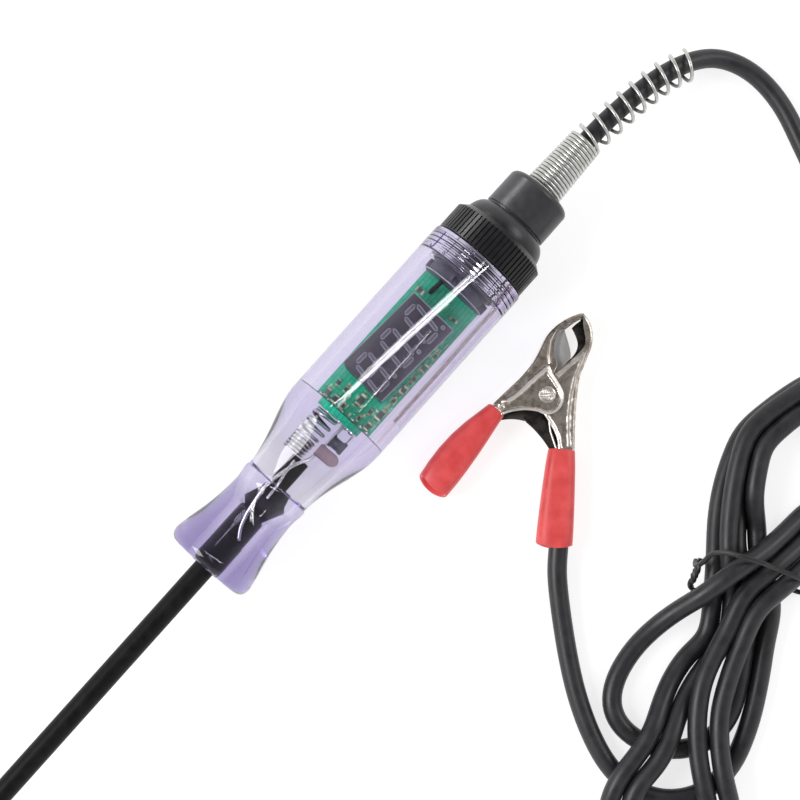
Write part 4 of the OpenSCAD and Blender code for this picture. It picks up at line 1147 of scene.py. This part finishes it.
def sheet_half(name, outlines, width, inward, height_at, beads, ribbed, looks, body, node):
    """One stamped half: two side plates and the back, bent from one sheet and given thickness."""
    bend, sheet = 0.7, 0.6
    edge, near, far = outlines
    edge = [np.array(p) for p in edge]
    half = width / 2
    normals = []
    for i in range(len(edge)):
        way = unit(edge[min(i + 1, len(edge) - 1)] - edge[max(i - 1, 0)])
        normals.append(-inward * left_of(way))
    section = [(bend * (1 - sin(a)), half - bend * (1 - cos(a)))
               for a in np.linspace(0, pi / 2, 6)]
    section += [(0.0, z) for z in np.linspace(half - bend, -half + bend, 6)[1:-1]]
    section += [(o, -z) for o, z in section[5::-1]]
    inset = [tuple(e + bend * n) for e, n in zip(edge, normals)]
    bm = bmesh.new()
    rows = [[bm.verts.new((*(e + o * n), z)) for o, z in section] for e, n in zip(edge, normals)]
    for a, b in zip(rows, rows[1:]):
        for k in range(len(section) - 1):
            bm.faces.new((a[k], a[k + 1], b[k + 1], b[k]))
    for face_side, inner, end in ((1, near, 0), (-1, far, -1)):
        rim = {rounded(p): row[end] for p, row in zip(inset, rows)}
        add_side_plate(bm, inset + inner, rim, half, face_side, height_at, beads, ribbed)
    loose = [v for v in bm.verts if not v.link_faces]
    bmesh.ops.delete(bm, geom=loose, context="VERTS")
    bmesh.ops.recalc_face_normals(bm, faces=bm.faces)
    if max(bm.faces, key=lambda f: f.calc_center_median().z).normal.z < 0:
        bmesh.ops.reverse_faces(bm, faces=bm.faces)
    for v in bm.verts:
        v.co = Vector(in_clip(v.co)) * MM
    mesh = bpy.data.meshes.new(name)
    bm.to_mesh(mesh)
    bm.free()
    outside, inside, rubbed = looks
    piece = add_piece(name, mesh, [outside, inside, rubbed, inside], [node], body, 50)
    thick = piece.modifiers.new("sheet", "SOLIDIFY")
    thick.thickness = sheet * MM
    thick.offset = -1
    thick.use_even_offset = True
    thick.material_offset = 1
    round_edges(piece, 0.09, 50)
    return piece


def make_rivet():
    """A low domed rivet with a slot across its head, at both ends of its shank."""
    head_r, head_h, rim_h, face, shank_r = 1.95, 0.5, 0.14, 3.42, 1.25
    slot_half, slot_deep, slot_off = 0.42, 0.26, 0.15
    segments, rings = 72, 18
    parts = []
    for end in (1, -1):
        points = []
        for i in range(rings):
            r = head_r * (1 - i / rings)
            dome = rim_h + (head_h - rim_h) * (1 - (r / head_r) ** 2) ** 0.6 if i else 0.0
            for c, s in circle(segments):
                x, y = r * c, r * s
                slot = max(0.0, 1 - (abs(0.91 * x + 0.42 * y + slot_off) / slot_half) ** 4)
                high = dome - (slot_deep * slot if 0 < i and r < head_r * 0.9 else 0)
                points.append(in_clip((x, y, end * (face + max(0.0, high)))))
        points.append(in_clip((0, 0, end * (face + head_h - 0.25))))
        parts.append((points, dome_faces(rings, segments)))
    shank = [in_clip((0, 0, -face)), in_clip((0, 0, face))]
    parts.append(tube(resample(shank, 1.0), shank_r, 32))
    rivet = new_piece("clip_pin", join(*parts), "rivet", ["clip_rivet"],
                      smooth_below=60)
    fix_normals(rivet)
    return rivet


def make_clip_spring():
    """The coil with its lower leg, and the upper leg, which turns round the coil with the lever."""
    wire, per_turn, turns, pitch = 0.35, 24, 3.4, 0.85
    coil_r, start, shared_steps = 2.0, radians(60), 6
    rise = turns * pitch

    def on_coil(i):
        a = start + 2 * pi * i / per_turn
        return (coil_r * cos(a), coil_r * sin(a), -rise / 2 + pitch * i / per_turn)

    lower_leg = [(-2.6, -2.1), (-4.7, -2.7), (-7.1, -4.2), (-9.9, -6.8), (-13, -9.4)]
    upper_leg = [(-12, 9.9), (-6, 7.2), (-1.2, 3.4)]
    coil = [on_coil(i) for i in range(int(turns * per_turn) + 1)]
    routes = ([*coil, *[(x, y, rise / 2) for x, y in lower_leg]],
              [*[(x, y, -rise / 2) for x, y in upper_leg], *coil[:shared_steps]])
    return [new_piece(name, tube([in_clip(p) for p in route], wire, 8, True), "spring",
                      stands_for, body, 80)
            for name, route, stands_for, body in (("clip_coil", routes[0], ["clip_spring"], ROOT),
                                                  ("clip_coil_leg", routes[1], [], LEVER))]


def grip_sleeve(name, node, front, way, stations, recess, body, crease=0.0, slant=0.0, bow=0.0):
    """A soft vinyl sleeve: stations are (distance, width, height), and the rear is hollow.

    Its rear end bulges, slant cuts it off so that its upper side is the shorter one, bow bends
    its middle to one side, and crease is the depth of a fold along its top.
    """
    segments, wall, square, bulge, fold_at, fold_half = 56, 0.75, 2 / 3.2, 0.9, 0.3, 0.38
    fold_from, fold_long = 0.35, 0.62
    way = unit(np.array(way))
    side = left_of(way)
    (s0, w0, h0), (length, w1, h1) = stations[0], stations[-1]

    def wave(share):
        return sin(pi * min(1, max(0, share)))

    def ring(s, w, h, dent=0.0, rear=0.0):
        out = []
        for c, d in circle(segments):
            x = copysign(abs(c) ** square, c) * w / 2
            z = copysign(abs(d) ** square, d) * h / 2
            if dent and d > 0:
                z -= dent * exp(-((x - fold_at) / fold_half) ** 2)
            at = s + rear * (bulge * (1 - (2 * x / w) ** 2) - slant * z / h)
            p = np.array(front) + way * at + side * (x + bow * wave(s / length))
            out.append(in_clip((*p, z)))
        return out

    rings = [ring(s0 + ds, w0 - d, h0 - d)
             for ds, d in ((1.2, 1.1), (0.05, 1.0), (0, 0.6), (0.12, 0.15))]
    for s, w, h in stations:
        share = s / length
        dent = crease * max(0.0, wave((share - fold_from) / fold_long))
        rings.append(ring(max(s, s0 + 0.35), w, h, dent, share ** 6))
    rings += [ring(length + ds, w1 - d, h1 - d, rear=1)
              for ds, d in ((0.2, 0.25), (0.22, wall), (0.05, 2 * wall))]
    rings.append(ring(length - recess, w1 - 2.2 * wall, h1 - 2.2 * wall))
    part = [p for r in rings for p in r], tube_faces(len(rings), segments)
    piece = new_piece(name, part, "grip", [node], body, 60)
    fix_normals(piece)
    piece.visible_transmission = False
    piece.visible_glossy = False
    return piece


def make_clip():
    upper = sheet_half("clip_lever_plate", MOVING_HALF, 6.8, -1, moving_height, BEADS, True,
                       ("nickel", "inside", "rubbed"), LEVER, "clip_moving_jaw")
    lower = sheet_half("clip_body_plate", FIXED_HALF, 5.0, 1, fixed_height, LOWER_BEADS, False,
                       ("etched", "shade", "rubbed"), ROOT, "clip_fixed_jaw")
    rivet = make_rivet()
    springs = make_clip_spring()
    lever_grip = grip_sleeve(
        "grip_lever", "clip_grip_moving", (-7.75, 9.0), (-21.8, 6),
        [(0, 4.5, 7.8), (3, 5.4, 7.8), (7, 6.8, 7.8), (11, 7.8, 7.8), (15, 8.3, 7.8),
         (19, 8.3, 7.8), (22.4, 7.9, 7.6)], 0.8, LEVER, slant=0.8, bow=-0.45)
    # The lower half's handle runs from its root to its end, whose inner corner is given too
    root, end, corner = (np.array(p) for p in ((-8.4, -10.8), (-21, -15.3), (-22.2, -12)))
    to_jaw = unit(root - end)
    front = (end + corner) / 2 + 12.9 * to_jaw + 1.1 * left_of(to_jaw)
    body_grip = grip_sleeve(
        "grip_body", "clip_grip_fixed", front, -to_jaw,
        [(0, 6.1, 7.2), (4, 6.8, 7.2), (9, 7.4, 7.3), (14, 7.9, 7.5), (18, 8.2, 7.7),
         (21.4, 8.3, 7.8)], 2.0, ROOT, crease=0.75)
    return [upper, lower, rivet, *springs, lever_grip, body_grip]


# Floor, lamps and background


def add_floor():
    """A pale floor: camera, mirror and glass rays see it as white, but for the part's shadow."""
    material, tree, shader = new_material("floor_white")
    set_inputs(tree, shader, {"Base Color": rgba(0.86), "Roughness": 0.9,
                              "Specular IOR Level": 0.0})
    rays = tree.nodes.new("ShaderNodeLightPath").outputs
    seen = rays["Is Camera Ray"]
    for kind in ("Is Glossy Ray", "Is Transmission Ray"):
        seen = add_node(tree, "Math", {0: seen, 1: rays[kind]}, operation="MAXIMUM")
    soft = add_node(tree, "BsdfDiffuse", {"Color": rgba(0.42)})
    glow = add_node(tree, "Emission", {"Strength": 0.75})
    white = add_node(tree, "AddShader", {0: soft, 1: glow})
    set_surface(tree, add_node(tree, "MixShader", {"Fac": seen, 1: shader.outputs["BSDF"],
                                                   2: white}))
    size = 3.0
    mesh = bpy.data.meshes.new("floor")
    mesh.from_pydata([(-size, -size, 0), (size, -size, 0), (size, size, 0), (-size, size, 0)], [],
                     [(0, 1, 2, 3)])
    mesh.materials.append(material)
    add_object("floor", mesh)


def add_world():
    """Bright round the sides and grey overhead, so that upper faces don't mirror plain white."""
    world = bpy.data.worlds.new("studio")
    bpy.context.scene.world = world
    world.use_nodes = True
    tree = world.node_tree
    z = add_node(tree, "SeparateXYZ", {"Vector": add_node(tree, "TexCoord", output="Generated")},
                 "Z")
    shade = ramp(tree, z, [(0.0, (1.0, 1.0, 1.01)), (0.45, (0.9, 0.9, 0.91)),
                           (0.78, (0.33, 0.33, 0.335)), (1.0, (0.25, 0.25, 0.254))])
    seen = add_node(tree, "LightPath", output="Is Camera Ray")
    tree.links.new(blend_colour(tree, seen, shade, rgba(1.0)),
                   tree.nodes["Background"].inputs["Color"])


def group(name, *pieces):
    """A collection for a lamp that lights only these pieces."""
    made = bpy.data.collections.new(name)
    for piece in pieces:
        made.objects.link(piece)
    return made


def add_lamp(name, place, size, watts, only_on=None):
    data = bpy.data.lights.new(name, "AREA")
    data.shape = "RECTANGLE"
    data.size, data.size_y = size
    data.energy = watts
    lamp = add_object(name, data)
    lamp.matrix_world = place
    if only_on:
        lamp.light_linking.receiver_collection = only_on


def add_soft(name, at, to, size, watts, only_on=None):
    """A panel that faces a point."""
    look = (Vector(to) - Vector(at)).normalized()
    turn = look.to_track_quat("-Z", "Y").to_matrix().to_4x4()
    add_lamp(name, Matrix.Translation(at) @ turn, size, watts, only_on)


def add_bar(name, a, b, width, watts, only_on):
    """A long bar lamp from a to b that faces down and makes its streak on a few pieces."""
    a, b = Vector(a), Vector(b)
    way = (b - a).normalized()
    down = Vector((0, 0, 1))
    turn = Matrix((way, down.cross(way), down)).transposed().to_4x4()
    add_lamp(name, Matrix.Translation((a + b) / 2) @ turn, ((b - a).length, width), watts, only_on)


def add_lamps(handle, rivet, lever_plate):
    """Two soft lamps for everything, and small ones that only a few glossy pieces mirror."""
    streaked = group("streaked_pieces", handle, rivet)
    middle = (0.05, -0.02, 0)
    add_soft("into_jaw", (-0.09, 0.08, 0.7), (0.1, -0.02, 0), (0.05, 0.05), 0.75,
             group("open_jaw", lever_plate))
    add_bar("bar", (0.064, 0.37, 0.82), (0.218, -0.42, 0.82), 0.008, 0.5, streaked)
    add_bar("bar_beside", (0.112, 0.22, 0.82), (0.186, -0.16, 0.82), 0.004, 0.12, streaked)
    add_bar("bar_wide", (0.088, 0.30, 0.825), (0.19, -0.23, 0.825), 0.045, 0.55, streaked)
    add_bar("bar_2", (0.083, -0.407, 0.82), (0.155, -0.384, 0.82), 0.012, 0.12, streaked)
    add_soft("edge_left", (0.1, 0.6, 0.28), (0.1, 0, 0), (0.5, 0.12), 2.5,
             group("black_pieces", nodes["end_cap"]))
    add_soft("soft_left", (-0.5, 0.55, 0.75), middle, (0.5, 0.5), 6.6)
    add_soft("soft_right", (0.75, -0.35, 0.6), middle, (0.4, 0.4), 1.9)


# CAD nodes that keep their solids, and what they are made of
NODE_LOOKS = {
    "probe_needle": "rod", "probe_sleeve": "sleeve", "probe_boot": "boot", "front_board": "board",
    "indicator_lamp": "lamp", "input_resistor": "resistor", "circuit_board": "board",
    "display_module": "display", "display_pins": "wire", "controller_chip": "dark_part",
    "board_plug": "plug", "ground_wire": "sleeve", "end_cap": "cap",
}

bpy.context.scene.view_settings.view_transform = "Standard"
add_camera()
cable, cable_path = make_cable()
tie = make_tie()
relief = make_strain_spring()
handle = make_handle()
make_mould_marks()
make_contact_spring()
make_wires()
make_board_marks()
make_chips()
make_plug_rim_highlight()
make_solder()
make_segments()
make_display_highlight_strips()
clip = make_clip()
for node, look in NODE_LOOKS.items():
    for slot in nodes[node].material_slots:
        slot.material = materials[look]
add_floor()
add_world()
add_lamps(handle, rivet=clip[2], lever_plate=clip[0])
